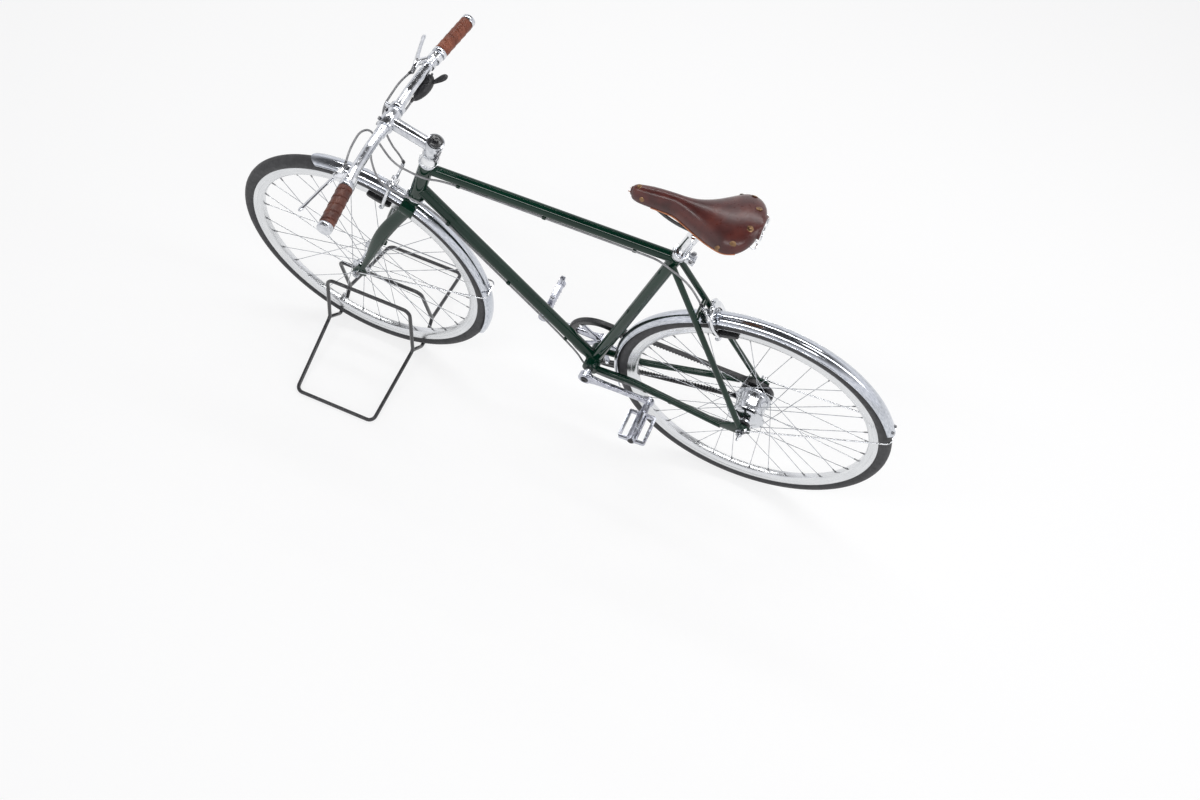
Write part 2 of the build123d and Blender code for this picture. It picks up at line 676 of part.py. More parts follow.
def drive():
    hold = belt_offset - belt_width / 2
    with BuildPart() as belt:
        extrude(belt_loop(belt_gap + belt_thickness), amount=-belt_width)
        extrude(belt_loop(belt_gap), amount=-belt_width, mode=Mode.SUBTRACT)
    finish(belt, "drive_belt")
    half = belt_width / 2
    with BuildPart() as ring:
        add(rod(bracket + across * (hold + 1), bracket + across * (hold + belt_width - 1),
                front_pulley_radius, front_pulley_radius - 17))
    finish(ring, "front_pulley")
    with BuildPart() as rear:
        add(rod(rear_axle + across * (hold + 0.5), rear_axle + across * (hold + belt_width - 0.5),
                rear_pulley_radius))
        add(rod(rear_axle + across * (hold - 6 + face_gap), rear_axle + across * (hold + belt_width + 3),
                18.0))
        add(rod(rear_axle, rear_axle + across * 80, axle_radius + bearing_gap), mode=Mode.SUBTRACT)
    finish(rear, "rear_pulley")
    arm_line = Vector(cos(radians(crank_angle)), 0, sin(radians(crank_angle)))
    thick, lean = 14.0, 5.0
    for side, word in ((-1, "left"), (1, "right")):
        line = arm_line * -side
        eye = bracket + line * crank_length
        inner = crank_tread - thick
        lean_line = (line * crank_length + across * side * lean).normalized()
        plane = Plane(origin=bracket + across * side * inner, x_dir=lean_line,
                      z_dir=lean_line.cross(line.cross(across * side)) * -1)
        with BuildPart() as crank:
            with BuildSketch(plane):
                Circle(17.0)
                with Locations((crank_length, 0)):
                    Circle(13.0)
                make_hull()
            outward = plane.z_dir.dot(across * side)
            extrude(amount=thick if outward > 0 else -thick)
            start = 43.0 if side > 0 else 50.0
            add(rod(bracket + across * side * start, bracket + across * side * (crank_tread + 1), 17.5))
            if side > 0:
                for arm in range(5):
                    turn = radians(72 * arm - crank_angle + 180 + 36)
                    middle = across * belt_offset
                    with BuildSketch(Plane(origin=bracket + middle, x_dir=across,
                                           z_dir=(cos(turn), 0, sin(turn)))):
                        Rectangle(7, 14)
                    extrude(amount=front_pulley_radius - 10)
            add(rod(bracket - across * 60, bracket + across * 60, spindle_radius), mode=Mode.SUBTRACT)
            add(rod(eye, eye + across * side * 90, 6.0), mode=Mode.SUBTRACT)
            if side > 0:
                add(rod(bracket + across * (hold + 1), bracket + across * (hold + belt_width - 1),
                        front_pulley_radius + 1, front_pulley_radius - 17), mode=Mode.SUBTRACT)
        finish(crank, f"{word}_crank")
    with BuildPart() as spindle:
        add(rod(bracket - across * 60, bracket + across * 60, spindle_radius))
    finish(spindle, "crank_spindle")
    with BuildPart() as pins:
        for side in (-1, 1):
            eye = bracket - arm_line * side * crank_length
            add(rod(eye + across * side * (crank_tread - thick + lean + 0.5), eye + across * side * 78, 6.0))
            add(rod(eye + across * side * 78, eye + across * side * 178, 4.5))
    finish(pins, "pedal_spindles")
    for side, word in ((-1, "left"), (1, "right")):
        eye = bracket - arm_line * side * crank_length
        tilt = radians(left_pedal_tilt if side < 0 else right_pedal_tilt)
        with BuildPart() as pedal:
            with BuildSketch(Plane(origin=eye + across * side * 84,
                                   x_dir=(cos(tilt), 0, sin(tilt)), z_dir=across * side)):
                RectangleRounded(pedal_length, pedal_height, 5)
            extrude(amount=pedal_width)
            with BuildSketch(Plane(origin=eye - Vector(-sin(tilt), 0, cos(tilt)) * 20
                                   + across * side * (84 + pedal_width / 2),
                                   x_dir=(cos(tilt), 0, sin(tilt)), z_dir=(-sin(tilt), 0, cos(tilt)))):
                with Locations((-23.5, 0), (23.5, 0)):
                    Rectangle(21, pedal_width - 18)
            extrude(amount=40, mode=Mode.SUBTRACT)
            add(rod(eye, eye + across * side * 178.2, 4.5 + bearing_gap), mode=Mode.SUBTRACT)
        finish(pedal, f"{word}_pedal")


def gear_actuator():
    face = rear_axle - across * (rear_hub_width / 2)
    cap = face + across * (18.0 - face_gap)
    with BuildPart() as piece:
        add(rod(cap, cap - across * 6, hub_cap_radius))
        add(rod(cap, face, 10.0))
        add(rod(face + across * 9, face + across * 9 + Vector(-26, 0, -4), 5.0))
        add(rod(rear_axle, rear_axle - across * 80, axle_radius), mode=Mode.SUBTRACT)
    finish(piece, "gear_actuator")


# ---------------------------------------------------------------- saddle
post_head = seat_top + seat_axis * seatpost_out
saddle_stations = [            # ahead of the post's clamp, half width, top above it, depth of the skirt
    (150, 5.5, 47, 14), (145, 9.5, 53, 18), (134, 14, 62, 26), (119, 18.2, 66.5, 30), (99, 19.6, 70, 32),
    (74, 20, 73, 34.5), (54, 20.5, 74, 36), (39, 23.5, 73, 38), (19, 30.5, 72, 40), (-1, 40, 74, 41.5),
    (-21, 51, 78, 42), (-41, 63, 83, 39), (-61, 73, 88.5, 36.5), (-76, 74, 92, 36), (-91, 69, 94, 34),
    (-103, 60, 94, 29), (-111, 48, 93, 22),
]


def by_post(ahead, left, up):
    """A place given ahead of the seatpost's clamp, to its left and above it."""
    return post_head + Vector(-ahead, -left, up)


def saddle_shape(stations, trim, sink):
    """The leather's outside, or its hollow when trimmed."""
    with BuildPart() as shape:
        for ahead, half, top, depth in stations:
            with BuildSketch(Plane(origin=by_post(ahead, 0, top - depth - sink), x_dir=(0, 1, 0),
                                   z_dir=(-1, 0, 0))):
                Ellipse(half - trim, depth + sink - trim)
                Rectangle(400, 400, align=(Align.CENTER, Align.MIN), mode=Mode.SUBTRACT)
        loft()
    return shape.part


def seat():
    lip = 8.0
    clamp_foot, clamp_top = seat_top - seat_axis * 7, seat_top + seat_axis * lip
    with BuildPart() as clamp:
        add(rod(clamp_foot, clamp_top, 18.0))
        with BuildSketch(Plane(origin=clamp_foot + seat_axis, x_dir=across, z_dir=seat_axis)):
            with Locations((0, -24)):
                Rectangle(20, 22)
                Rectangle(2.5, 22, mode=Mode.SUBTRACT)
        extrude(amount=5 + lip)
        add(rod(seat_top - seat_axis * 40, seat_top + seat_axis * 40, seatpost_radius), mode=Mode.SUBTRACT)
        add(rod(seat_top - seat_axis * 40, seat_top, seat_tube_radius), mode=Mode.SUBTRACT)
    finish(clamp, "seat_clamp")
    rise = rail_rise
    rail_points = [by_post(128, 4, 48), by_post(105, 5, 30), by_post(84, 9, 16),
                   by_post(52, rail_half_gap, rise), by_post(-46, rail_half_gap, rise), by_post(-101, 40, 64)]
    rails = []
    for side in (-1, 1):
        points = [Vector(p.X, side * -p.Y, p.Z) for p in rail_points]
        rails.append(bent_rod(points, rail_radius))
    with BuildPart() as post:
        add(rod(seat_top - seat_axis * 120, post_head + seat_axis * 6, seatpost_radius))
        add(rod(post_head + Vector(0, -30, rise + 4), post_head + Vector(0, 30, rise + 4), 14.0))
        add(rails[0], mode=Mode.SUBTRACT)
        add(rails[1], mode=Mode.SUBTRACT)
    finish(post, "seatpost")
    with BuildPart() as underframe:
        add(rails[0])
        add(rails[1])
        add(rod(by_post(128, 6, 48), by_post(128, -6, 48), 4.0))
        add(rod(by_post(126, 0, 48), by_post(126, 0, 58.4), 3.0))
        ahead, half, top, depth = saddle_stations[-2]
        with BuildSketch(Plane(origin=by_post(ahead, 0, top - depth), x_dir=(0, 1, 0), z_dir=(-1, 0, 0))):
            Ellipse(half - leather_thickness - 0.6, depth - leather_thickness - 0.6)
            Rectangle(400, 400, align=(Align.CENTER, Align.MIN), mode=Mode.SUBTRACT)
        extrude(amount=5)
    finish(underframe, "saddle_frame")
    with BuildPart() as leather:
        add(saddle_shape(saddle_stations, 0, 0))
        add(saddle_shape(saddle_stations[2:], leather_thickness, 2), mode=Mode.SUBTRACT)
    finish(leather, "saddle_leather")


# ---------------------------------------------------------------- cables
cable_radius = 2.5
front_brake_route = [(919.6, -143.4, 899.5), (929, -115, 899), (932, -70, 893), (936, -40, 882),
                     (930, -20, 845), (916, -22, 790), (908, -34, 752), (905, -40, 722)]
rear_brake_route = [(919.6, 143.4, 899.5), (929, 118, 900), (937, 77, 897), (944, 40, 886), (934, 18, 874),
                    (917, 20, 838), (888, 24, 797), (846, 23.5, 786), (812, 21, 780), (780, 10, 779.5),
                    (700, 9, 780.4), (300, 10, 790.6), (277, 18, 799), (252, 26, 800), (226, 22.5, 780),
                    (208, 11, 748), (190, 5, 716), (170, 2, 676)]
gear_route = [(889, -89, 885), (895, -40, 868), (930, 10, 850), (934, 38, 820), (928, 42, 770),
              (918, 40, 732), (880, 39, 718), (842, 30, 703), (800, 20, 672), (700, 12, 556.0),
              (454, 12, 319.7), (419, 18, 266), (392, 22, 260), (340, 33, 279), (286, 34, 290),
              (150, 52, 309), (90, 51, 318), (60, 53, 329), (29, 57, 336.5)]


def cable(route, name):
    points = [at(*p) for p in route]
    radii = bend_radii(points)
    with BuildPart() as piece:
        add(bent_rod(points, cable_radius, radii))
    print(name, "bend radii", [round(r, 1) for r in radii])
    finish(piece, name)


# ---------------------------------------------------------------- stand
def stand():
    length, gap = stand_half_length, hoop_half_gap
    foot_ahead, joint_ahead, joint_aside, joint_up = 115.0, 127.0, 56.0, 57.0
    floor = rod_radius
    low = wheel_radius - sqrt(wheel_radius ** 2 - joint_ahead ** 2) - rod_radius - rest_gap - 0.6
    x = front_axle.X
    with BuildPart() as piece:
        for side, half in ((-1, stand_left_width), (1, stand_right_width)):
            loop = [Vector(x, side * half, floor), Vector(x - foot_ahead, side * half, floor),
                    Vector(x - joint_ahead, side * joint_aside, joint_up),
                    Vector(x - length, side * gap, hoop_height), Vector(x, side * gap, hoop_height)]
            front = bent_rod(loop, rod_radius, [18.0, 14.0, 20.0])
            add(front)
            add(mirror(front, about=Plane(origin=(x, 0, 0), z_dir=(1, 0, 0))))
        for end in (-1, 1):
            link = [Vector(x + end * joint_ahead, aside, up) for aside, up in
                    ((-joint_aside, joint_up), (-14, low), (14, low), (joint_aside, joint_up))]
            add(bent_rod(link, rod_radius, [12.0, 12.0]))
    finish(piece, "display_stand")


front_wheel()
rear_wheel()
front_axle_set()
rear_axle_set()
frame_tubes()
rear_triangle()
headset()
fork()
steering_parts()
lever(-1, "left_brake_lever")
lever(1, "right_brake_lever")
shifter()
brakes()
fenders()
drive()
gear_actuator()
seat()
cable(front_brake_route, "front_brake_cable")
cable(rear_brake_route, "rear_brake_cable")
cable(gear_route, "gear_cable")
stand()
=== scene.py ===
"""Looks for the city bicycle: a finish for every piece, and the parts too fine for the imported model.

Places are metres in the model's frame; sizes are millimetres, times MM where they meet a place.
"""
import json
import math

import bmesh
import bpy
from mathutils import Matrix, Vector


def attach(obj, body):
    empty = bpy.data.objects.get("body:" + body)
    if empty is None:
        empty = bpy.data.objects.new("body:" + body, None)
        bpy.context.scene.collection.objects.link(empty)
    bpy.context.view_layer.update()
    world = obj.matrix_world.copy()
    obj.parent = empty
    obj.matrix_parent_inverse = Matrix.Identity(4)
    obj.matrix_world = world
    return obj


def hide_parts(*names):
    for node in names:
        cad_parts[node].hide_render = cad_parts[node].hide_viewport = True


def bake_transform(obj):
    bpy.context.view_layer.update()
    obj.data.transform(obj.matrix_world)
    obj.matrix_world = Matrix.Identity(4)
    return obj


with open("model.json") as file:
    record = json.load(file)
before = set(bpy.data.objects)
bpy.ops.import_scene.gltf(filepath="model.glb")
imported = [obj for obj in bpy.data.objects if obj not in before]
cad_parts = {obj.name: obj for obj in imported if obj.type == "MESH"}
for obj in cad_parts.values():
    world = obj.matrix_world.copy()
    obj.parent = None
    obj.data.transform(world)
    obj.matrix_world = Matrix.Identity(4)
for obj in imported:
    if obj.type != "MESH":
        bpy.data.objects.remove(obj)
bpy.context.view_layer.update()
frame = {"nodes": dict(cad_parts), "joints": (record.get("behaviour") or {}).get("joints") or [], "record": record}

# ---------------------------------------------------------------- places
MM = 0.001
TURN = 2 * math.pi
ACROSS = Vector((0, 1, 0))
UP = Vector((0, 0, 1))
AHEAD = Vector((-1, 0, 0))

record = frame["record"]
nodes = frame["nodes"]
joints = {row["name"]: row for row in frame["joints"]}
slot_of = {row["node"]: row["material_slot"] for row in record["subparts"]}
body_of = {node: body for body, members in record["behaviour"]["bodies"].items() for node in members}


def joint_place(name):
    return Vector(joints[name]["pos_m"])


front_axle, rear_axle = joint_place("front_wheel_spin"), joint_place("rear_wheel_spin")
bracket, head_foot = joint_place("crank_turn"), joint_place("steering")
steering_axis = Vector(joints["steering"]["axis"])
steering_ahead = Vector((-steering_axis.z, 0, steering_axis.x))
SEAT_ANGLE = math.radians(73.3)
seat_axis = Vector((math.cos(SEAT_ANGLE), 0, math.sin(SEAT_ANGLE)))
SEAT_TUBE_LENGTH, SEATPOST_OUT = 562, 98
seat_top = bracket + seat_axis * SEAT_TUBE_LENGTH * MM
post_head = seat_top + seat_axis * SEATPOST_OUT * MM


def at(ahead, left, up):
    """A place ahead of the rear axle, to the left and above the floor."""
    return Vector((rear_axle.x - ahead * MM, -left * MM, up * MM))


def on_steerer(up, ahead=0.0, left=0.0):
    """A place along the steering axis from the foot of the head tube, ahead of it and to the left."""
    return head_foot + (steering_axis * up + steering_ahead * ahead - ACROSS * left) * MM


bar_middle = on_steerer(195, 105)


def by_bar(ahead, left, up):
    """A place ahead of the bar's middle, to its left and above it."""
    return bar_middle + Vector((-ahead, -left, up)) * MM


def by_post(ahead, left, up):
    """A place ahead of the seatpost's clamp, to its left and above it."""
    return post_head + Vector((-ahead, -left, up)) * MM


bar_end = by_bar(-29, 303, 20.3)
bar_run = (bar_end - by_bar(-8.4, 155, 12.8)).normalized()


def on_bar(aside, side):
    """A place on the bar's straight end run, on the left (-1) or the right (1)."""
    place = bar_end - bar_run * ((-bar_end.y - aside * MM) / -bar_run.y)
    return Vector((place.x, -side * place.y, place.z))


# ---------------------------------------------------------------- materials
def srgb(red, green, blue):
    """A linear colour from 0 to 255 screen values."""
    return tuple(v / 12.92 if v <= 0.04045 else ((v + 0.055) / 1.055) ** 2.4
                 for v in (red / 255, green / 255, blue / 255)) + (1.0,)


class Surface:
    """A node material round one Principled shader."""

    def __init__(self, name, rough, metal=0.0, coat=0.0, coat_rough=0.04, sheen=0.0, specular=0.5):
        self.material = bpy.data.materials.new(name)
        self.material.use_nodes = True
        self.tree = self.material.node_tree
        self.shader = self.tree.nodes["Principled BSDF"]
        self.rough = rough
        for socket, value in (("Metallic", metal), ("Coat Weight", coat), ("Coat Roughness", coat_rough),
                              ("Sheen Weight", sheen), ("Specular IOR Level", specular)):
            self.shader.inputs[socket].default_value = value
        self.where = self.node("TexCoord")

    def node(self, kind, inputs=(), **settings):
        made = self.tree.nodes.new("ShaderNode" + kind)
        for key, value in settings.items():
            setattr(made, key, value)
        for key, value in dict(inputs).items():
            if isinstance(value, bpy.types.NodeSocket):
                self.tree.links.new(value, made.inputs[key])
            else:
                made.inputs[key].default_value = value
        return made

    def maths(self, operation, *values):
        return self.node("Math", enumerate(values), operation=operation).outputs[0]

    def noise(self, scale, stretch=(1, 1, 1), detail=4.0, coords="Object"):
        place = self.node("Mapping", {"Vector": self.where.outputs[coords], "Scale": stretch}).outputs[0]
        return self.node("TexNoise", {"Vector": place, "Scale": scale, "Detail": detail}).outputs["Fac"]

    def colours(self, value, *stops):
        """Base colour along a ramp of (place, colour)."""
        ramp = self.node("ValToRGB", {"Fac": value})
        while len(ramp.color_ramp.elements) < len(stops):
            ramp.color_ramp.elements.new(0.5)
        for element, (place, colour) in zip(ramp.color_ramp.elements, stops):
            element.position, element.color = place, colour
        self.tree.links.new(ramp.outputs[0], self.shader.inputs["Base Color"])

    def roughness(self, value, spread):
        ranged = self.node("MapRange", {"Value": value, "From Min": 0.3, "From Max": 0.7,
                                        "To Min": self.rough - spread, "To Max": self.rough + spread})
        self.tree.links.new(ranged.outputs[0], self.shader.inputs["Roughness"])

    def bump(self, height, distance, strength=1.0, coat=False):
        made = self.node("Bump", {"Height": height, "Distance": distance * MM, "Strength": strength})
        self.tree.links.new(made.outputs[0], self.shader.inputs["Normal"])
        if coat:
            self.tree.links.new(made.outputs[0], self.shader.inputs["Coat Normal"])


def paint():
    look = Surface("frame_paint", 0.34, coat=0.8, coat_rough=0.025, specular=0.0)
    cloud = look.noise(9)
    look.colours(cloud, (0.3, srgb(0, 34, 23)), (0.7, srgb(3, 44, 30)))
    look.roughness(look.noise(60), 0.05)
    look.bump(look.noise(420, detail=1.0), 0.004, 0.35, coat=True)
    return look.material


def polished(name="polished", light=(226, 228, 232), dark=(186, 189, 195), rough=0.16, run=(1, 1, 1)):
    look = Surface(name, rough, metal=1.0)
    streak = look.noise(90, run)
    look.colours(streak, (0.3, srgb(*dark)), (0.7, srgb(*light)))
    look.roughness(streak, 0.06)
    look.bump(look.noise(500, run, 2.0), 0.002, 0.1)
    return look.material


def turned_metal(name, light, dark, rough, metal=1.0):
    """Metal with fine rings left by the tool, for skins that carry a run of their own."""
    look = Surface(name, rough, metal=metal)
    rings = look.noise(1.0, (14, 2600, 1), 3.0, "UV")
    look.colours(rings, (0.35, srgb(*dark)), (0.65, srgb(*light)))
    look.roughness(look.noise(1.0, (30, 900, 1), 3.0, "UV"), 0.07)
    look.bump(rings, 0.004, 0.15)
    return look.material


def tyre_rubber():
    """A fine slanted tread over the crown, and ribs on the walls."""
    look = Surface("tyre_rubber", 0.62)
    look.colours(look.noise(55), (0.3, srgb(44, 44, 46)), (0.7, srgb(60, 60, 62)))
    look.roughness(look.noise(160), 0.08)
    run = look.node("SeparateXYZ", {"Vector": look.where.outputs["UV"]}).outputs["X"]
    aside = look.node("SeparateXYZ", {"Vector": look.where.outputs["Object"]}).outputs["Y"]
    aside = look.maths("ABSOLUTE", aside)
    slant = look.maths("ADD", look.maths("MULTIPLY", run, TURN / 0.0068),
                       look.maths("MULTIPLY", aside, 520.0))
    grooves = look.maths("GREATER_THAN", look.maths("SINE", slant), 0.72)
    crown = look.maths("MULTIPLY", look.maths("LESS_THAN", aside, 0.0112),
                       look.maths("GREATER_THAN", aside, 0.0022))
    ribs = look.maths("SINE", look.maths("MULTIPLY", aside, TURN / 0.0011))
    walls = look.maths("MULTIPLY", look.maths("GREATER_THAN", aside, 0.0128),
                       look.maths("MULTIPLY", ribs, 0.25))
    cut = look.maths("SUBTRACT", walls, look.maths("MULTIPLY", grooves, crown))
    look.bump(look.maths("ADD", cut, look.maths("MULTIPLY", look.noise(1500), 0.3)), 0.35, 0.9)
    return look.material


def leather(name, deep, mid, light, rough, coat, pore=900, crease=0.0, worn=0.75):
    look = Surface(name, rough, coat=coat, coat_rough=0.25, specular=0.2)
    cloud = look.noise(26, detail=6.0)
    look.colours(cloud, (0.28, srgb(*deep)), (0.5, srgb(*mid)), (worn, srgb(*light)))
    look.roughness(look.noise(120), 0.09)
    place = look.where.outputs["Object"]
    cells = look.node("TexVoronoi", {"Vector": place, "Scale": pore}, feature="DISTANCE_TO_EDGE").outputs[0]
    cells = look.maths("MINIMUM", look.maths("MULTIPLY", cells, 3.0), 1.0)
    height = look.maths("ADD", cells, look.maths("MULTIPLY", look.noise(70), 1.2 + crease))
    look.bump(height, 0.12, 0.4)
    return look.material


def plain(name, light, dark, rough, metal=0.0, coat=0.0, grain=1100, depth=0.06, sheen=0.0):
    """Moulded, coated or raw stuff with a cloudy colour and a fine grain."""
    look = Surface(name, rough, metal=metal, coat=coat, coat_rough=0.1, sheen=sheen)
    look.colours(look.noise(75), (0.32, srgb(*dark)), (0.68, srgb(*light)))
    look.roughness(look.noise(210), 0.08)
    look.bump(look.noise(grain, detail=2.0), depth, 0.5)
    return look.material


looks = {
    "frame_paint": paint(),
    "polished": polished(),
    "chrome": polished("chrome", (240, 241, 243), (214, 216, 220), 0.07),
    "fender_metal": polished("fender_metal", (222, 225, 231), (176, 181, 190), 0.13, (1, 9, 1)),
    "rim_metal": turned_metal("rim_metal", (238, 239, 240), (206, 208, 211), 0.27),
    "hub_metal": turned_metal("hub_metal", (228, 230, 233), (188, 191, 197), 0.14),
    "tyre_black": tyre_rubber(),
    "rubber_black": plain("rubber_black", (40, 40, 42), (24, 24, 26), 0.66, depth=0.1),
    "spoke_steel": polished("spoke_steel", (205, 207, 211), (158, 161, 166), 0.2),
    "nipple": polished("nipple", (150, 150, 152), (110, 111, 114), 0.3),
    # A darker, lilac-grey copy of the polished metal. On the crank arms this darker tone is painted shade for the
    # dark band along them.
    "darker_polished": polished("darker_polished", (206, 208, 216), (160, 162, 174), 0.24),
    "saddle_brown": leather("saddle_brown", (54, 24, 22), (74, 33, 30), (96, 47, 39), 0.34, 0.6),
    "saddle_edge": plain("saddle_edge", (196, 128, 88), (166, 100, 66), 0.6, depth=0.2, sheen=0.2),
    "saddle_inside": plain("saddle_inside", (150, 106, 74), (118, 80, 54), 0.85, depth=0.3, sheen=0.3),
    "grip_brown": leather("grip_brown", (58, 32, 27), (84, 47, 38), (120, 74, 58), 0.46, 0.2, 1100, 0.5),
    # The right grip's leather is the left one's made lighter: painted light standing in for the highlights on the
    # far grip.
    "grip_painted_lighter": leather("grip_painted_lighter", (88, 46, 34), (120, 66, 48), (158, 98, 74), 0.44, 0.2, 1100, 0.5),
    "bronze": polished("bronze", (152, 122, 92), (106, 80, 58), 0.36),
    "black_metal": plain("black_metal", (38, 38, 41), (22, 22, 24), 0.32, coat=0.4),
    "black_plastic": plain("black_plastic", (42, 42, 45), (26, 26, 28), 0.45, depth=0.08),
    "cable_grey": plain("cable_grey", (150, 150, 152), (116, 116, 119), 0.4, coat=0.2, grain=2400),
    "belt_black": plain("belt_black", (36, 36, 39), (22, 22, 24), 0.4, depth=0.05),
    "stand_black": plain("stand_black", (52, 52, 55), (32, 32, 34), 0.34, coat=0.5, grain=700, depth=0.08),
}


# ---------------------------------------------------------------- mesh makers
def skin(name, rows, ring=True, loop=False, caps=True):
    """A mesh over rows of points. ring closes each row, loop joins the last row to the first."""
    count, length = len(rows), len(rows[0])
    middle = rows[count // 2]
    runs, rounds = [0.0], [0.0]
    for i in range(count if loop else count - 1):
        runs.append(runs[-1] + (rows[(i + 1) % count][0] - rows[i][0]).length)
    for j in range(length if ring else length - 1):
        rounds.append(rounds[-1] + (middle[(j + 1) % length] - middle[j]).length)
    faces, places = [], []
    for i in range(len(runs) - 1):
        a, b = i * length, (i + 1) % count * length
        for j in range(len(rounds) - 1):
            k = (j + 1) % length
            faces.append((a + j, a + k, b + k, b + j))
            places += [(rounds[j], runs[i]), (rounds[j + 1], runs[i]), (rounds[j + 1], runs[i + 1]),
                       (rounds[j], runs[i + 1])]
    if caps and ring and not loop:
        faces += [tuple(range(length)), tuple(range((count - 1) * length, count * length))]
        places += [(0.0, 0.0)] * (2 * length)
    mesh = bpy.data.meshes.new(name)
    mesh.from_pydata([tuple(p) for row in rows for p in row], [], faces)
    layer = mesh.uv_layers.new(name="run")
    for corner, place in zip(layer.data, places):
        corner.uv = place
    shape = bmesh.new()
    shape.from_mesh(mesh)
    bmesh.ops.recalc_face_normals(shape, faces=shape.faces)
    shape.to_mesh(mesh)
    shape.free()
    return mesh


def join(name, meshes):
    whole = bmesh.new()
    for mesh in meshes:
        whole.from_mesh(mesh)
        bpy.data.meshes.remove(mesh)
    joined = bpy.data.meshes.new(name)
    whole.to_mesh(joined)
    whole.free()
    return joined


def publish(mesh, slot, body, look=None, replaces=(), sharp=38, bevel=0.0):
    """Shows a mesh as a piece that moves with a body."""
    piece = bpy.data.objects.new(mesh.name, mesh)
    bpy.context.scene.collection.objects.link(piece)
    mesh.materials.append(looks[look or slot])
    mesh.shade_smooth()
    if bevel:
        rounded(piece, bevel)
    else:
        mesh.set_sharp_from_angle(angle=math.radians(sharp))
    if body:
        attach(piece, body)
    if replaces:
        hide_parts(*replaces)
    return piece


def rounded(piece, width):
    """Rounds a piece's sharp edges."""
    made = piece.modifiers.new("rounded", "BEVEL")
    made.width, made.segments = width * MM, 2
    made.limit_method, made.angle_limit = "ANGLE", math.radians(32)
    made.harden_normals = True


def turned(name, outline, centre, axis, steps=64, loop=False):
    """A turned body from rows of (distance along the axis, radius). A third number makes it a hexagon."""
    side = axis.orthogonal().normalized()
    if abs(axis.dot(ACROSS)) > 0.9:
        side = Vector((1, 0, 0))
    other = axis.cross(side)
    rows = []
    for step in outline:
        row = []
        for k in range(steps):
            a = TURN * k / steps
            radius = step[1]
            if len(step) > 2:
                radius *= math.cos(math.pi / 6) / math.cos((a % (TURN / 6)) - math.pi / 6)
            row.append(centre + (axis * step[0] + (side * math.cos(a) + other * math.sin(a)) * radius) * MM)
        rows.append(row)
    return skin(name, rows, loop=loop)


def rod(name, start, end, radius, steps=24, ease=0.4):
    """A round rod with eased ends."""
    length = (end - start).length / MM
    outline = [(0, radius - ease), (ease, radius), (length - ease, radius), (length, radius - ease)]
    return turned(name, outline, start, (end - start).normalized(), steps)


def hex_nut(name, place, axis, flats, height, stud=0.0):
    corner = flats / 2 / math.cos(math.pi / 6)
    outline = [(0, corner, 6), (height - 0.8, corner, 6), (height, flats / 2 * 0.92)]
    if stud:
        outline += [(height, stud), (height + 2.5, stud), (height + 3, stud - 0.4)]
    return turned(name, outline, place, axis, 48)


def socket_bolt(name, place, axis, radius, height):
    """A cap screw with its hexagon recess."""
    outline = [(0, radius), (height - 0.6, radius), (height, radius - 0.6), (height, radius * 0.55, 6),
               (height * 0.35, radius * 0.55, 6)]
    return turned(name, outline, place, axis, 36)


def eased(stations, between):
    """More stations between the given ones, on a smooth line through them all."""
    ends = [stations[0], *stations, stations[-1]]
    line = []
    for a, b, c, d in zip(ends, ends[1:], ends[2:], ends[3:]):
        for k in range(between):
            t = k / between
            line.append(tuple(0.5 * (2 * q + (r - p) * t + (2 * p - 5 * q + 4 * r - s) * t * t
                                     + (3 * q - p - 3 * r + s) * t ** 3) for p, q, r, s in zip(a, b, c, d)))
    line.append(tuple(stations[-1]))
    return line


def lofted(name, stations, lift, power=2.0, steps=24, between=6):
    """A body along a line of (place, half width, half thickness). lift is the way its thickness runs."""
    line = eased([(*place, half, thick) for place, half, thick in stations], between)
    rows = []
    for i, (x, y, z, half, thick) in enumerate(line):
        along = Vector(line[min(i + 1, len(line) - 1)][:3]) - Vector(line[max(i - 1, 0)][:3])
        side = along.cross(lift).normalized()
        up = side.cross(along).normalized()
        row = []
        for k in range(steps):
            c, s = math.cos(TURN * k / steps), math.sin(TURN * k / steps)
            row.append(Vector((x, y, z)) + side * (half * MM * math.copysign(abs(c) ** (2 / power), c))
                       + up * (thick * MM * math.copysign(abs(s) ** (2 / power), s)))
        rows.append(row)
    return skin(name, rows)


def swept(name, route, radius, steps=8):
    """A round wire along a smooth line with the route's points as its control points."""
    curve = bpy.data.curves.new(name, "CURVE")
    curve.dimensions = "3D"
    spline = curve.splines.new("NURBS")
    spline.points.add(len(route) - 1)
    for point, place in zip(spline.points, route):
        point.co = (*place, 1)
    spline.order_u = 3
    spline.use_endpoint_u = True
    curve.resolution_u = steps
    curve.bevel_depth, curve.bevel_resolution = radius * MM, 3
    curve.use_fill_caps = True
    holder = bpy.data.objects.new(name, curve)
    bpy.context.scene.collection.objects.link(holder)
    bpy.context.view_layer.update()
    mesh = bpy.data.meshes.new_from_object(holder.evaluated_get(bpy.context.evaluated_depsgraph_get()))
    mesh.name = name
    bpy.data.objects.remove(holder)
    bpy.data.curves.remove(curve)
    return mesh


def finish_nodes():
    """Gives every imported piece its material, and rounds the edges of the plain machined ones."""
    soft = {"stem": 0.8, "stem_cap": 0.6, "seat_clamp": 0.8, 
            "front_brake_pads": 0.8, "rear_brake_pads": 0.8,
            "fork_steerer": 1.6, "left_chainstay": 0.7, "right_chainstay": 0.7, "grip_rings": 0.7,
            "headset_cups": 0.6, "headset_cover": 0.6, "accessory_clamp": 0.7, "gear_actuator": 0.6,
            "front_axle": 0.4, "rear_axle": 0.4, "seatpost": 0.6, "bottom_bracket_shell": 0.8}
    special = {"front_fender_stay": "chrome", "rear_fender_stay": "chrome", "seatpost": "chrome",
               "headset_cover": "chrome"}
    for name, node in nodes.items():
        node.data.materials.clear()
        node.data.materials.append(looks[special.get(name, slot_of[name])])
        if name in soft:
            node.data.normals_split_custom_set([(0.0, 0.0, 0.0)] * len(node.data.loops))
            node.data.shade_smooth()
            weld = node.modifiers.new("weld", "WELD")
            weld.merge_threshold = 0.01 * MM
            rounded(node, soft[name])


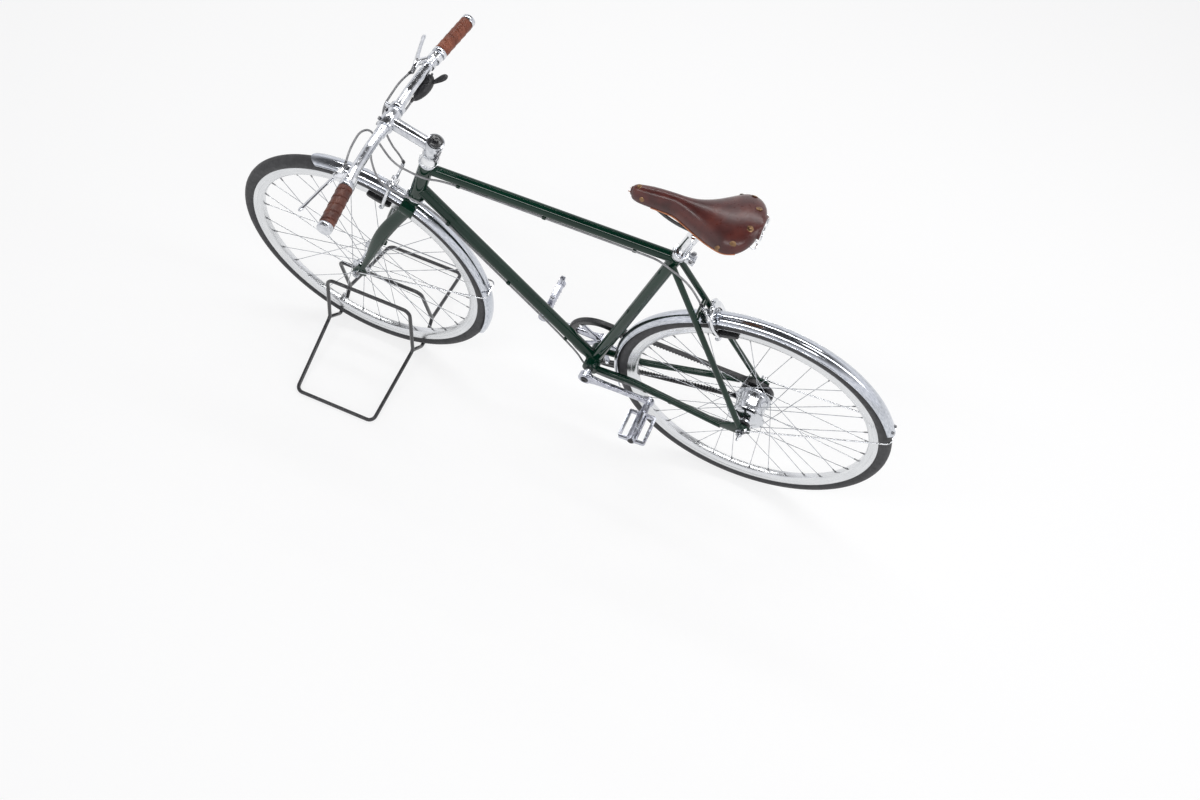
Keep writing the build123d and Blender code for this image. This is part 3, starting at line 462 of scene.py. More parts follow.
# ---------------------------------------------------------------- wheels
WHEEL, RIM, RIM_DEPTH, RIM_HALF = 341.0, 313.5, 25.0, 12.0
SPOKE_RADIUS = 0.9
FRONT_SPOKES, REAR_SPOKES = 32, 36
FRONT_VALVE, REAR_VALVE = 4.29, 2.2             # turns from the rear of the wheel, in radians


def tyre(axle, node, body):
    bulb, edge = 16.0, RIM + 0.3
    centre = WHEEL - bulb
    foot = math.asin((edge - centre) / bulb)
    outline = []
    for k in range(33):
        a = math.pi - foot - (math.pi - 2 * foot) * k / 32
        outline.append([bulb * math.cos(a), centre + bulb * math.sin(a)])
    for point in outline:                     # two grooves beside the middle of the tread
        if 1.0 < abs(point[0]) < 2.6:
            point[1] -= 0.7
    outline += [(10.2, edge - 0.2), (10.2, edge - 5.0), (-10.2, edge - 5.0), (-10.2, edge - 0.2)]
    publish(turned(node + "_tread", outline, axle, ACROSS, 300, loop=True), "tyre_black", body,
            replaces=[node])


def rim(axle, node, body, valve_turn):
    inner, wall = RIM - RIM_DEPTH, 1.5
    outline = [(-RIM_HALF, RIM - 0.6), (-RIM_HALF, RIM - 11), (-RIM_HALF + 0.7, RIM - 11.6),
               (-RIM_HALF + 0.7, inner + 7), (-RIM_HALF + 2.2, inner + 3.2), (-RIM_HALF + 5, inner + 0.6),
               (-3, inner), (3, inner), (RIM_HALF - 5, inner + 0.6), (RIM_HALF - 2.2, inner + 3.2),
               (RIM_HALF - 0.7, inner + 7), (RIM_HALF - 0.7, RIM - 11.6), (RIM_HALF, RIM - 11),
               (RIM_HALF, RIM - 0.6), (RIM_HALF - 0.6, RIM), (RIM_HALF - wall,
                                                              RIM), (RIM_HALF - wall, RIM - 6),
               (wall - RIM_HALF, RIM - 6), (wall - RIM_HALF, RIM), (0.6 - RIM_HALF, RIM)]
    publish(turned(node + "_section", outline, axle, ACROSS, 240, loop=True), "polished", body, "rim_metal",
            [node], sharp=28)
    valve = axle + Vector((math.cos(valve_turn), 0, math.sin(valve_turn))) * inner * MM
    inward = (axle - valve).normalized()
    stem = turned(node + "_valve", [(-2, 4.5), (2, 4.5), (2, 3.0), (20, 3.0), (20, 3.9), (31, 3.9),
                                    (32, 3.2)], valve,
                  inward, 20)
    publish(stem, "spoke_steel", body, "nipple")


def spoke_run(axle, count, hole, flange_radius, flange_offset):
    """The two ends of one spoke."""
    side, lead = (1 if hole % 2 else -1), (1 if hole % 4 < 2 else -1)
    rim_turn = TURN * hole / count
    hub_turn = rim_turn + lead * 6 * TURN / count
    near, far = flange_radius + 0.95, RIM - RIM_DEPTH - 0.15
    start = Vector((near * math.cos(hub_turn), side * (flange_offset + lead * 1.8),
                    near * math.sin(hub_turn)))
    end = Vector((far * math.cos(rim_turn), side * 2.5, far * math.sin(rim_turn)))
    return axle + start * MM, axle + end * MM, side * lead


def lacing(axle, count, flange_radius, flange_offset, name, body):
    """Nipples at the rim, and the spokes' heads on the flanges."""
    nipples, heads = [], []
    for hole in range(count):
        start, end, face = spoke_run(axle, count, hole, flange_radius, flange_offset)
        inward = (start - end).normalized()
        nipples.append(turned("nipple", [(-1.5, 2.4), (0.5, 2.4), (0.6, 1.9), (9, 1.7), (11, 1.1)], end,
                              inward, 10))
        toward_axle = (axle - Vector((start.x, axle.y, start.z))).normalized()
        eye = start + toward_axle * 3.2 * MM
        heads.append(turned("head", [(-0.9, 1.0), (-0.6, 1.9), (0.4, 1.7), (0.9, 0.8)], eye, ACROSS * face,
                            10))
        heads.append(rod("elbow", eye, start, SPOKE_RADIUS, 8, 0.1))
    publish(join(name + "_nipples", nipples), "spoke_steel", body, "nipple")
    publish(join(name + "_spoke_heads", heads), "spoke_steel", body)


def hub(axle, node, body, outline):
    publish(turned(node + "_shell", outline, axle, ACROSS, 96, loop=True), "polished", body, "hub_metal",
            [node],
            bevel=0.7)


def wheels():
    tyre(front_axle, "front_tyre", "front_wheel")
    tyre(rear_axle, "rear_tyre", "rear_wheel")
    rim(front_axle, "front_rim", "front_wheel", FRONT_VALVE)
    rim(rear_axle, "rear_rim", "rear_wheel", REAR_VALVE)
    lacing(front_axle, FRONT_SPOKES, 23.0, 31.0, "front", "front_wheel")
    lacing(rear_axle, REAR_SPOKES, 44.0, 27.0, "rear", "rear_wheel")
    bore = 5.1
    hub(front_axle, "front_hub", "front_wheel",
        [(-43.5, bore), (-43.5, 10), (-40, 12), (-34.5, 13.5), (-32.5, 15), (-32.5, 23), (-29.5, 23),
         (-29.5, 15),
         (-24, 12.5), (-10, 11.4), (10, 11.4), (24, 12.5), (29.5, 15), (29.5, 23), (32.5, 23), (32.5, 15),
         (34.5, 13.5), (40, 12), (43.5, 10), (43.5, bore)])
    hub(rear_axle, "rear_hub", "rear_wheel",
        [(-48, bore), (-48, 11), (-40, 13), (-37, 20), (-33, 26), (-30.5, 31), (-28.8, 33), (-28.8, 44),
         (-25.2, 44),
         (-25.2, 37.5), (-22, 36), (-6, 36.6), (6, 36.6), (22, 36), (25.2, 37.5), (25.2, 44), (28.8, 44),
         (28.8, 34.5), (34, 31.5), (36, 30), (36, bore)])


# ---------------------------------------------------------------- fenders
def fender(axle, node, body, start, stop, bow_start, bow_stop):
    """A rolled-edge sheet round the wheel. Each end bows out by the given degrees at its middle."""
    crown, half, sheet, bead = 350.5, 19.0, 1.1, 1.5
    sag = 10.5
    radius = (half ** 2 + sag ** 2) / (2 * sag)
    spread = math.asin(half / radius)
    outer = []
    for k in range(25):
        a = -spread + 2 * spread * k / 24
        outer.append((radius * math.sin(a), crown - radius + radius * math.cos(a)))
    edge = outer[-1]
    curl = [(edge[0] + bead * (math.sin(b) - 0.35), edge[1] - bead * 0.6 + bead * math.cos(b))
            for b in (0.9, 1.9, 2.9, 3.9, 4.9)]
    inner = [(y * (1 - sheet / radius), r - sheet) for y, r in reversed(outer[1:-1])]
    section = outer + curl + inner + [(-y, r) for y, r in reversed(curl)]
    rows = []
    steps = int((stop - start) * 1.2)
    for i in range(steps + 1):
        t = i / steps
        row = []
        for y, r in section:
            bow = 1 - (y / half) ** 2
            low = start + bow_start * (1 - bow)
            high = stop - bow_stop * (1 - bow)
            a = math.radians(low + (high - low) * t)
            row.append(axle + Vector((math.cos(a) * r, y, math.sin(a) * r)) * MM)
        rows.append(row)
    publish(skin(node + "_sheet", rows), "polished", body, "fender_metal", [node], sharp=60)


def round_wheel(axle, angle, radius, aside=0.0):
    a = math.radians(angle)
    return axle + Vector((radius * math.cos(a), aside, radius * math.sin(a))) * MM


def fenders():
    fender(front_axle, "front_fender", "front_end", -22.0, 105.5, 1.6, 2.6)
    fender(rear_axle, "rear_fender", "frame", 22.0, 200.0, 1.6, 1.6)
    bolts = {"front_end": [], "frame": []}
    for axle, body, angle in ((front_axle, "front_end", 11.0), (rear_axle, "frame", 24.6)):
        out = (round_wheel(axle, angle, 1.0) - axle).normalized()
        for side in (-1, 1):
            place = round_wheel(axle, angle, 348.2, side * 9)
            bolts[body].append(socket_bolt("stay_bolt", place, out, 3.4, 4.0))
    for axle, body, half, foot in (
            (front_axle, "front_end", 55, front_axle - steering_ahead * 4 * MM + steering_axis * 17 * MM),
            (rear_axle, "frame", 71, rear_axle + Vector((10, 0, 21)) * MM)):
        for side in (-1, 1):
            bolts[body].append(socket_bolt("eye_bolt", foot + ACROSS * side * (half + 7) * MM, ACROSS * side,
                                           4.0, 4.0))
    publish(join("front_fender_bolts", bolts["front_end"]), "black_metal", "front_end", "nipple")
    publish(join("rear_fender_bolts", bolts["frame"]), "black_metal", "frame", "nipple")


# ---------------------------------------------------------------- saddle
SADDLE = [                       # ahead of the post's clamp, half width, top, depth of the skirt
    (144.5, 7.5, 56, 17), (142.5, 10.6, 59, 22), (138, 13.6, 62, 26), (130, 16, 64, 28.5),
    (118, 18.2, 66.5, 30), (99, 19.6, 70, 32), (74, 20, 73, 34.5), (54, 20.5, 74, 36), (39, 23.5, 73, 38),
    (19, 30.5, 72, 40), (-1, 40, 74, 41.5), (-21, 51, 78, 42), (-41, 63, 83, 39), (-61, 73, 88.5, 36.5),
    (-76, 74.5, 92, 36), (-91, 69.5, 94, 34), (-102, 60.5, 94, 30), (-110, 49.5, 93.5,
                                                                     26), (-115, 38, 93, 22),
    (-117, 29, 92.5, 19)]


LEATHER = 4.2


def saddle_place(ahead, half, top, depth, a, out=0.0):
    """A place on the leather's section, a from the left edge over the top to the right one."""
    c, s = math.cos(a), math.sin(a)
    aside = (half + out) * math.copysign(abs(c) ** 0.92, c)
    return by_post(ahead, aside, top - depth + (depth + out) * max(s, 0.0) ** 0.92)


def saddle_at(ahead):
    """The leather's half width, top and depth at a place along it."""
    for (x0, *low), (x1, *high) in zip(SADDLE, SADDLE[1:]):
        if x0 >= ahead >= x1:
            t = (x0 - ahead) / (x0 - x1)
            return [a + (b - a) * t for a, b in zip(low, high)]
    return list(SADDLE[-1][1:])


def saddle():
    steps = 44
    rows = []
    line = eased(SADDLE, 4)
    nose, tail = line[0], line[-1]
    for k in range(5, 0, -1):                      # the nose turns down over its end
        t = TURN / 4 * k / 5
        half, high, depth = nose[1:]
        tuck = 1 - math.cos(t)
        end = (nose[0] + 4 * math.sin(t), half * (1 - 0.5 * tuck), high, depth * (1 - 0.35 * tuck))
        rows.append([saddle_place(*end, math.pi * j / steps)
                     - UP * 7 * MM * (1 - math.cos(t)) * math.sin(math.pi * j / steps) ** 0.5
                     for j in range(steps + 1)])
    for station in line:
        rows.append([saddle_place(*station, math.pi * j / steps) for j in range(steps + 1)])
    for k in range(1, 6):                          # and so does the back
        t = TURN / 4 * k / 5
        rows.append([saddle_place(tail[0] - 5 * math.sin(t), *tail[1:], math.pi * j / steps)
                     - UP * 7 * MM * (1 - math.cos(t)) * math.sin(math.pi * j / steps) ** 0.5
                     for j in range(steps + 1)])
    top = publish(skin("saddle_top", rows, ring=False), "saddle_brown", "frame", replaces=["saddle_leather"])
    top.data.materials.append(looks["saddle_edge"])
    top.data.materials.append(looks["saddle_inside"])
    thick = top.modifiers.new("thick", "SOLIDIFY")
    thick.thickness, thick.offset = LEATHER * MM, -1.0
    thick.material_offset_rim, thick.material_offset = 1, 2

    rivets = []
    for ahead, share in ((-100, 0.37), (-100, 0.63), (-81, 0.18), (-81, 0.82), (-57, 0.06), (-57, 0.94),
                         (132, 0.5), (119, 0.13), (119, 0.87)):
        half, high, depth = saddle_at(ahead)
        a = math.pi * share
        place = saddle_place(ahead, half, high, depth, a)
        out = (saddle_place(ahead, half, high, depth, a, 4.0) - place).normalized()
        size = 6.6 if ahead < 0 else 5.2
        rivets.append(turned("rivet", [(-0.6, size), (0.3, size), (1.0, size * 0.86), (1.4, size * 0.5),
                                       (1.2, size * 0.28), (0.9, size * 0.2)], place, out, 28))
    publish(join("saddle_rivets", rivets), "saddle_brown", "frame", "bronze")

    edges = []
    for side in (-1, 1):                           # the pale cut edge along the skirt
        cut = [saddle_place(ahead, half, high, depth, 0.0, 0.6) for ahead, half, high, depth in SADDLE[5:16]]
        edges.append(swept("edge", [Vector((p.x, -side * p.y, p.z + 0.4 * MM)) for p in cut], 1.3))
    publish(join("saddle_cut_edges", edges), "saddle_brown", "frame", "saddle_edge")

    back = []
    for drop, inset in ((2, -1.6), (8, -3.0), (14, -2.8), (18, -1.0)):      # steel plate under the back edge
        row = []
        for j in range(3, steps - 2):
            a = math.pi * j / steps
            half, high, depth = SADDLE[-1][1:]
            row.append(saddle_place(tail[0] - 6.2 + inset, half - 2.0, high - 3.6, depth - 3.6, a)
                       - UP * drop * MM * math.sin(a) ** 0.4)
        back.append(row)
    plate = publish(skin("saddle_cantle", back, ring=False), "chrome", "frame")
    sheet = plate.modifiers.new("thick", "SOLIDIFY")
    sheet.thickness = 1.6 * MM

    loops = []
    for side in (-1, 1):
        loops.append(swept("loop", [by_post(-98, side * 44, 70), by_post(-106, side * 45, 66),
                                    by_post(-120, side * 44, 60), by_post(-122, side * 36, 59),
                                    by_post(-121, side * 27, 60), by_post(-108, side * 25, 70),
                                    by_post(-100, side * 25, 76)], 1.7))
    publish(join("saddle_bag_loops", loops), "chrome", "frame")
    rails = [rod("nose_pin", by_post(128, -9, 48), by_post(128, 9, 48), 3.2)]
    for side in (-1, 1):
        rails.append(swept("rail", [by_post(ahead, side * left, up) for ahead, left, up in
                                    ((128, 4, 48), (112, 7, 44), (88, 15, 36), (56, 22, 27), (20, 22, 18),
                                     (-46, 22, 15), (-80, 30, 38), (-103, 40, 68))], 3.5))
    publish(join("saddle_rails", rails), "black_metal", "frame", replaces=["saddle_frame"])
    clamp = [rod("saddle_pin", by_post(0, 31, 15), by_post(0, 37, 15), 8.0),
             rod("saddle_pin", by_post(0, -31, 15), by_post(0, -37, 15), 8.0),
             hex_nut("saddle_nut", by_post(0, 37, 15), -ACROSS, 13, 6, 3),
             hex_nut("saddle_nut", by_post(0, -37, 15), ACROSS, 13, 6, 3)]
    publish(join("saddle_clamp_nuts", clamp), "chrome", "frame")


# ---------------------------------------------------------------- handlebar
def grip(node, side, look):
    """Leather wound round the bar, each turn lapped on the last."""
    start, end = on_bar(205, side), on_bar(303, side)
    axis = (end - start).normalized()
    wide = axis.orthogonal().normalized()
    other = axis.cross(wide)
    pitch, length, around = 19.5, (end - start).length / MM, 56
    rows = []
    for i in range(121):
        s = length * i / 120
        row = []
        for k in range(around):
            a = TURN * k / around
            phase = (s / pitch + side * k / around) % 1.0
            lap = 1.15 * phase - (1.5 if phase > 0.95 or phase < 0.03 else 0.0)
            tuck = 1.2 * max(0.0, 1 - min(s, length - s) / 2.0) ** 2
            radius = 14.8 + lap - tuck
            row.append(start + axis * s * MM + (wide * math.cos(a) + other * math.sin(a)) * radius * MM)
        rows.append(row)
    publish(skin(node + "_wrap", rows), "grip_brown", body_of[node], look, [node], sharp=50)


def lever(node, side):
    """A brake lever: its band round the bar, its hood, and the flat blade with a ball at its tip."""
    def place(ahead, aside, up):
        return by_bar(ahead, -side * aside, up)

    out = (on_bar(200, side) - on_bar(180, side)).normalized()
    pivot = place(24.6, 172, -1.2)
    ring = on_bar(184, side)
    band = [(-7, 11.2), (-7, 14.6), (-6, 15.4), (6, 15.4), (7, 14.6), (7, 11.2)]
    parts = [turned("band", band, ring, out, 48, loop=True),
             lofted("hood", [(ring + (pivot - ring) * 0.3, 6.0, 8.0), (ring + (pivot - ring) * 0.7, 7.0, 7.5),
                             (pivot, 8.5, 6.8), (place(30, 171, -1.6), 6.0,
                                                 5.0), (place(33, 170, -1.8), 2.5, 2.2)],
                    UP, 2.8),
             lofted("body", [(place(26, 182, -2), 3.0, 3.0), (place(25.5, 178, -1.5), 7.0, 6.4),
                             (pivot, 7.6, 6.8),
                             (place(23.6, 162, -1.2), 6.6, 6.2), (place(22.8, 153, -1.2), 5.2,
                                                                  5.2)], UP, 2.6)]
    publish(join(node + "_body", parts), "polished", body_of[node], "chrome", [node], bevel=0.3)
    blade = [(place(25, 166, -1.4), 4.0, 2.0), (place(27, 171, -2), 6.4, 3.4), (place(30, 180, -4), 6.8, 3.2),
             (place(36.6, 194, -8.2), 6.2, 2.7), (place(44, 216, -12.6), 5.8,
                                                  2.4), (place(51, 238, -17), 6.0, 2.4),
             (place(55.6, 254, -20.2), 6.3, 2.8), (place(58, 261, -21.8), 6.3,
                                                   3.6), (place(59.6, 266, -22.8), 4.8, 3.2),
             (place(60.2, 268.5, -23.2), 1.6, 1.2)]
    flat = (AHEAD * 0.75 + UP).normalized()
    publish(lofted(node + "_blade", blade, flat, 2.4, 28), "polished", body_of[node])
    fittings = [socket_bolt("pivot_bolt", pivot + UP * 6.4 * MM, UP, 3.6, 3.0),
                socket_bolt("pivot_foot", pivot - UP * 6.4 * MM, -UP, 3.6, 3.0),
                socket_bolt("band_bolt", ring + UP * 15 * MM, UP, 2.8, 3.0)]
    publish(join(node + "_bolts", fittings), "black_metal", body_of[node], "nipple")
    toward = (place(21.6, 145, -0.7) - place(22.8, 153, -1.2)).normalized()
    barrel = [(0, 4.0), (1, 5.0), (7, 5.0), (7.4, 4.2), (8.6, 4.2), (9, 5.0), (11.5, 5.0), (12, 3.6),
              (15, 3.2)]
    publish(turned(node + "_barrel", barrel, place(22.8, 153, -1.2), toward, 24), "polished", body_of[node],
            "nipple")


def shifter():
    out = (on_bar(200, 1) - on_bar(180, 1)).normalized()
    band = [(-3.5, 11.5), (-3.5, 13.2), (-2.7, 14.0), (2.7, 14.0), (3.5, 13.2), (3.5, 11.5)]
    publish(turned("shifter_band", band, on_bar(162.5, 1), out, 48, loop=True), "polished", "front_end",
            bevel=0.3)
    pod = [(by_bar(-13.4, -158, -10.5), 3.0, 3.0), (by_bar(-13.6, -155, -11), 9.0, 8.0),
           (by_bar(-14.0, -147, -12.5), 13.2, 11.4), (by_bar(-14.4, -134, -14.2), 15.4, 12.6),
           (by_bar(-13.4, -118, -16.6), 14.0, 11.8), (by_bar(-11.6, -104, -18.8), 10.2, 9.4),
           (by_bar(-10.2, -94, -20.2), 6.0, 6.4), (by_bar(-9.6, -88, -21), 2.2, 2.4)]
    paddle = [(by_bar(-16, -138, -13), 5.0, 3.4), (by_bar(-23, -141, -12.5), 5.4, 3.4),
              (by_bar(-30, -145, -10), 5.2, 3.0), (by_bar(-37, -150, -6.5), 7.2, 3.2),
              (by_bar(-43, -154, -3), 8.4, 3.8), (by_bar(-48, -157, 0), 8.2,
                                                  3.8), (by_bar(-52, -159.5, 1.8), 5.6, 2.8),
              (by_bar(-54, -160.6, 2.6), 1.8, 1.2)]
    parts = [lofted("pod", pod, UP, 2.5, 36), lofted("paddle", paddle, UP, 2.6)]
    publish(join("shifter_pod", parts), "black_plastic", "front_end", replaces=["gear_shifter"])
    cap = [(0, 8.6), (1.6, 8.6), (2.2, 8.0), (2.2, 6.6), (1.5, 6.2), (1.5, 2.0), (2.6, 1.6)]
    publish(turned("shifter_window", cap, by_bar(-14.2, -133, -2.4), UP, 40), "black_plastic", "front_end",
            "rubber_black")
    publish(socket_bolt("shifter_bolt", by_bar(-15, -160, -8), -AHEAD, 3.0, 3.0), "black_metal", "front_end",
            "nipple")


def stem_details():
    bolts = []
    for side in (-1, 1):                           # the bar clamp's two bolts, and a black strip of painted shade where its split lies
        place = bar_middle + ACROSS * side * 14 * MM
        for lift in (-1, 1):
            bolts.append(socket_bolt("clamp_bolt",
                                     place + (steering_ahead * 15 + steering_axis * lift * 10) * MM,
                                     steering_ahead, 4.0, 4.6))
    for up in (183, 205):
        bolts.append(socket_bolt("pinch_bolt", on_steerer(up, -17, 9), -ACROSS, 3.8, 13))
    publish(join("stem_bolts", bolts), "polished", "front_end", "nipple")
    # A thin black sheet on the clamp's front face: painted shade standing in for the gap of the split.
    split = [(-20.8, 17.75), (20.8, 17.75)]
    face = [[bar_middle + (ACROSS * s + steering_ahead * math.cos(a) * r
                           + steering_axis * math.sin(a) * r) * MM
             for a in (-0.045, 0.045)] for s, r in split]
    publish(skin("stem_split_painted_shade", face, ring=False), "black_metal", "front_end")
    cap = on_steerer(225, 0)
    publish(socket_bolt("top_cap_bolt", cap - steering_axis * 1.5 * MM, steering_axis, 6.0, 3.2),
            "black_metal",
            "front_end")
    rings = []
    for up, radius in ((145.4, 21.15), (150.6, 21.1), (168, 18.2)):
        rings.append(turned("ring", [(-0.5, radius - 0.6), (-0.3, radius), (0.3, radius),
                                     (0.5, radius - 0.6)],
                            on_steerer(up), steering_axis, 64, loop=True))
    publish(join("headset_rings", rings), "chrome", "front_end")


# ---------------------------------------------------------------- brakes
def calliper(node, pivot, outward, upward, axle, stand_off, stop):
    """A side-pull brake: two shaped arms, their bolts and springs, and the arm that takes the cable."""
    body = body_of[node]
    track = RIM - 7.0
    up_share, off_plane = (pivot - axle).dot(upward) / MM, (pivot - axle).dot(outward) / MM + 4.5
    arm_height = math.sqrt(track ** 2 - off_plane ** 2) - up_share
    pad_height = math.sqrt(track ** 2 - (off_plane + 14) ** 2) - up_share

    def place(aside, up, out):
        return pivot + (ACROSS * aside + upward * up + outward * out) * MM

    cable_side = 1 if stop.y > pivot.y else -1
    arms = []
    for side, layer in ((cable_side, 7.2), (-cable_side, 2.4)):
        stations = [(place(-side * 9, 1, layer), 3.0, 1.5), (place(-side * 5, 2.4, layer), 8.6, 3.4),
                    (place(side * 6, 3.2, layer), 9.4, 3.8), (place(side * 17, 0.5, layer), 8.4, 3.9),
                    (place(side * 26, -9, layer), 7.8, 3.9), (place(side * 30, -23, layer), 7.0, 3.8),
                    (place(side * 29.4, -38, layer), 6.2, 3.6), (place(side * 28.4, arm_height + 9, layer),
                                                                 6.0, 3.6),
                    (place(side * 28, arm_height, layer), 6.8, 4.0), (place(side * 28, arm_height - 6, layer),
                                                                      5.0, 3.2),
                    (place(side * 28, arm_height - 8.6, layer), 1.6, 1.2)]
        arms.append(lofted("arm", stations, outward, 3.4, 28, 5))
    shoulder = place(cable_side * 27, -5, 5)
    tip = stop + (shoulder - stop).normalized() * 3 * MM
    arms.append(lofted("cable_arm", [(shoulder, 3.0, 3.0), (shoulder.lerp(tip, 0.06), 7.4, 3.9),
                                     (shoulder.lerp(tip, 0.4), 6.0,
                                      3.6), (shoulder.lerp(tip, 0.66), 5.0, 3.6),
                                     (shoulder.lerp(tip, 0.72), 2.0, 2.0)], outward, 3.0, 24, 4))
    arms.append(lofted("anchor_arm", [(place(-cable_side * 20, -3, 2.4), 4.0, 2.0),
                                      (place(-cable_side * 24, 4, 3), 6.0, 3.2),
                                      (place(-cable_side * 16, 14, 4), 4.8, 3.0),
                                      (place(-cable_side * 9, 19, 4), 4.0, 2.8),
                                      (place(-cable_side * 6, 20.6, 4), 1.2, 1.0)], outward, 3.0, 24, 4))
    publish(join(node + "_arms", arms), "polished", body, "chrome", [node])

    run = (stop - shoulder).normalized()
    small = [turned("barrel", [(-20, 3.2), (-19.6, 4.6), (-13, 4.6), (-12.6, 3.4), (-11, 3.4), (-10.6, 4.4),
                               (-6, 4.4), (-5.6, 3.0), (-2, 2.8)], stop, run, 24),
             rod("centre_bolt", place(0, 0, -stand_off), place(0, 0, 15), 4.0),
             hex_nut("centre_nut", place(0, 0, 11), outward, 10, 5, 3.4),
             turned("washer", [(0, 7.4), (1.2, 7.4), (1.5, 6.8)], place(0, 0, 9.6), outward, 32),
             socket_bolt("side_pivot", place(cable_side * 21, -2, 10.8), outward, 4.6, 3.4),
             socket_bolt("anchor_bolt", place(-cable_side * 8, 19, 6.6), outward, 4.0, 4.2)]
    for side in (-1, 1):
        spring = [place(side * 3, 6, -0.6), place(side * 16, 4, -0.8), place(side * 30, -10, -0.8),
                  place(side * 34, -26, -0.6), place(side * 31, -36, 0.4)]
        small.append(swept("spring", spring, 0.9, 6))
        face = RIM_HALF + 2.0
        small.append(rod("pad_bolt", place(side * (face + 5), arm_height, 4.8),
                         place(side * 32.5, arm_height, 4.8), 3.0))
        small.append(hex_nut("pad_nut", place(side * 32, arm_height, 4.8), ACROSS * side, 9, 4))
    publish(join(node + "_fittings", small), "spoke_steel", body)

    shoes = []
    for side in (-1, 1):
        centre = place(side * (RIM_HALF + 2 + 8.2), pad_height, 4.5 + 14)
        radial = (axle + ACROSS * (centre.y - axle.y) - centre).normalized()
        along = radial.cross(ACROSS).normalized()
        stations = [(centre - along * 27 * MM, 2.5, 1.0), (centre - along * 25 * MM, 4.6, 1.8),
                    (centre - along * 12 * MM, 5.2, 2.4), (centre, 5.4,
                                                           3.0), (centre + along * 12 * MM, 5.2, 2.4),
                    (centre + along * 25 * MM, 4.6, 1.8), (centre + along * 27 * MM, 2.5, 1.0)]
        shoes.append(lofted("shoe", stations, ACROSS, 3.4, 20, 3))
    publish(join(node + "_shoes", shoes), "black_metal", body)


STAY_FOOT = Vector((rear_axle.x - 8 * MM, -68.5 * MM, rear_axle.z + 22 * MM))
STAY_TOP = seat_top - seat_axis * 31 * MM - ACROSS * 14 * MM


def brakes():
    calliper("front_brake", on_steerer(-19.5, 54), steering_ahead, steering_axis, front_axle, 35,
             at(905, -40, 722))
    run = STAY_TOP - STAY_FOOT
    bridge = STAY_FOOT + run * 0.68
    stay_up = Vector((run.x, 0, run.z)).normalized()
    stay_out = ACROSS.cross(stay_up)
    pivot = Vector((bridge.x, 0, bridge.z)) + stay_out * 29 * MM
    calliper("rear_brake", pivot, stay_out, stay_up, rear_axle, 22.8, at(170, 2, 676))


# ---------------------------------------------------------------- cables
FRONT_BRAKE = [(919.6, -143.4, 899.5), (929, -115, 899), (932, -70, 893), (936, -40, 882), (930, -20, 845),
               (916, -22, 790), (908, -34, 752), (905, -40, 722)]
REAR_BRAKE = [(919.6, 143.4, 899.5), (929, 118, 900), (937, 77, 897), (944, 40, 886), (934, 18, 874),
              (917, 20, 838), (888, 24, 797), (846, 23.5, 786), (812, 21, 780), (780, 10, 779.5),
              (700, 9, 780.4), (300, 10, 790.6), (277, 18, 799), (252, 26, 800), (226, 22.5, 780),
              (208, 11, 748), (190, 5, 716), (170, 2, 676)]
GEAR = [(889, -89, 885), (895, -40, 868), (930, 10, 850), (934, 38, 820), (928, 42, 770), (918, 40, 732),
        (880, 39, 718), (842, 30, 703), (800, 20, 672), (700, 12, 556.0), (454, 12, 319.7), (419, 18, 266),
        (392, 22, 260), (340, 33, 279), (286, 34, 290), (150, 52, 309), (90, 51, 318), (60, 53, 329),
        (29, 57, 336.5)]


HOUSING_RADIUS = 2.4


def cables():
    """The housings. The two that run on to the frame go on no body and stay where they are built."""
    for node, route, crossing in (("front_brake_cable", FRONT_BRAKE, None),
                                  ("rear_brake_cable", REAR_BRAKE, (at(936, 40, 880), at(800, 15, 780))),
                                  ("gear_cable", GEAR, (at(934, 38, 812), at(836, 28, 698)))):
        mesh = swept(node + "_housing", [at(*p) for p in route], HOUSING_RADIUS, 10)
        if crossing:
            piece = publish(mesh, "cable_grey", None, replaces=[node])
            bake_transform(piece)
        else:
            publish(mesh, "cable_grey", "front_end", replaces=[node])
    ferrule = [(0, 3.3), (0.4, 3.8), (6, 3.8), (9, 3.0), (11, 2.7)]
    for name, body, route, ends in (("front_brake_ferrules", "front_end", FRONT_BRAKE, (0, -1)),
                                    ("rear_brake_ferrules", "front_end", REAR_BRAKE, (0,)),
                                    ("rear_brake_foot", "frame", REAR_BRAKE, (-1,)),
                                    ("gear_ferrules", "front_end", GEAR, (0,)),
                                    ("gear_foot", "frame", GEAR, (-1,))):
        parts = []
        for end in ends:
            place, following = at(*route[end]), at(*route[1 if end == 0 else -2])
            parts.append(turned("ferrule", ferrule, place, (following - place).normalized(), 20))
        publish(join(name, parts), "black_metal", body)


def cable_guides():
    """Clips that hold the housings against the top tube, the down tube and the stays."""
    clips = []
    for route, begin, finish, count, pull in ((REAR_BRAKE, 9, 11, 3, (0, 9, 9)), (GEAR, 8, 10, 3, (0, 13, 8)),
                                              (GEAR, 14, 15, 2, (0, 4, -9))):
        a, b = at(*route[begin]), at(*route[finish])
        along = (b - a).normalized()
        for k in range(count):
            place = a.lerp(b, (0.08, 0.5, 0.93)[k] if count == 3 else (0.25, 0.75)[k])
            clips.append(turned("clip", [(-4, 2.5), (-4, 3.3), (-3.4, 3.8), (3.4, 3.8), (4, 3.3), (4, 2.5)],
                                place,
                                along, 24, loop=True))
            clips.append(rod("post", place, place + Vector(pull) * 0.55 * MM, 2.0, 12, 0.2))
    publish(join("cable_guides", clips), "frame_paint", "frame")


# ---------------------------------------------------------------- drive
BELT_OFFSET, BELT_HALF, PITCH = 48.0, 6.0, 8.0
FRONT_TEETH, REAR_TEETH = 73, 32
front_radius, rear_radius = (teeth * PITCH / TURN - 1.5 for teeth in (FRONT_TEETH, REAR_TEETH))


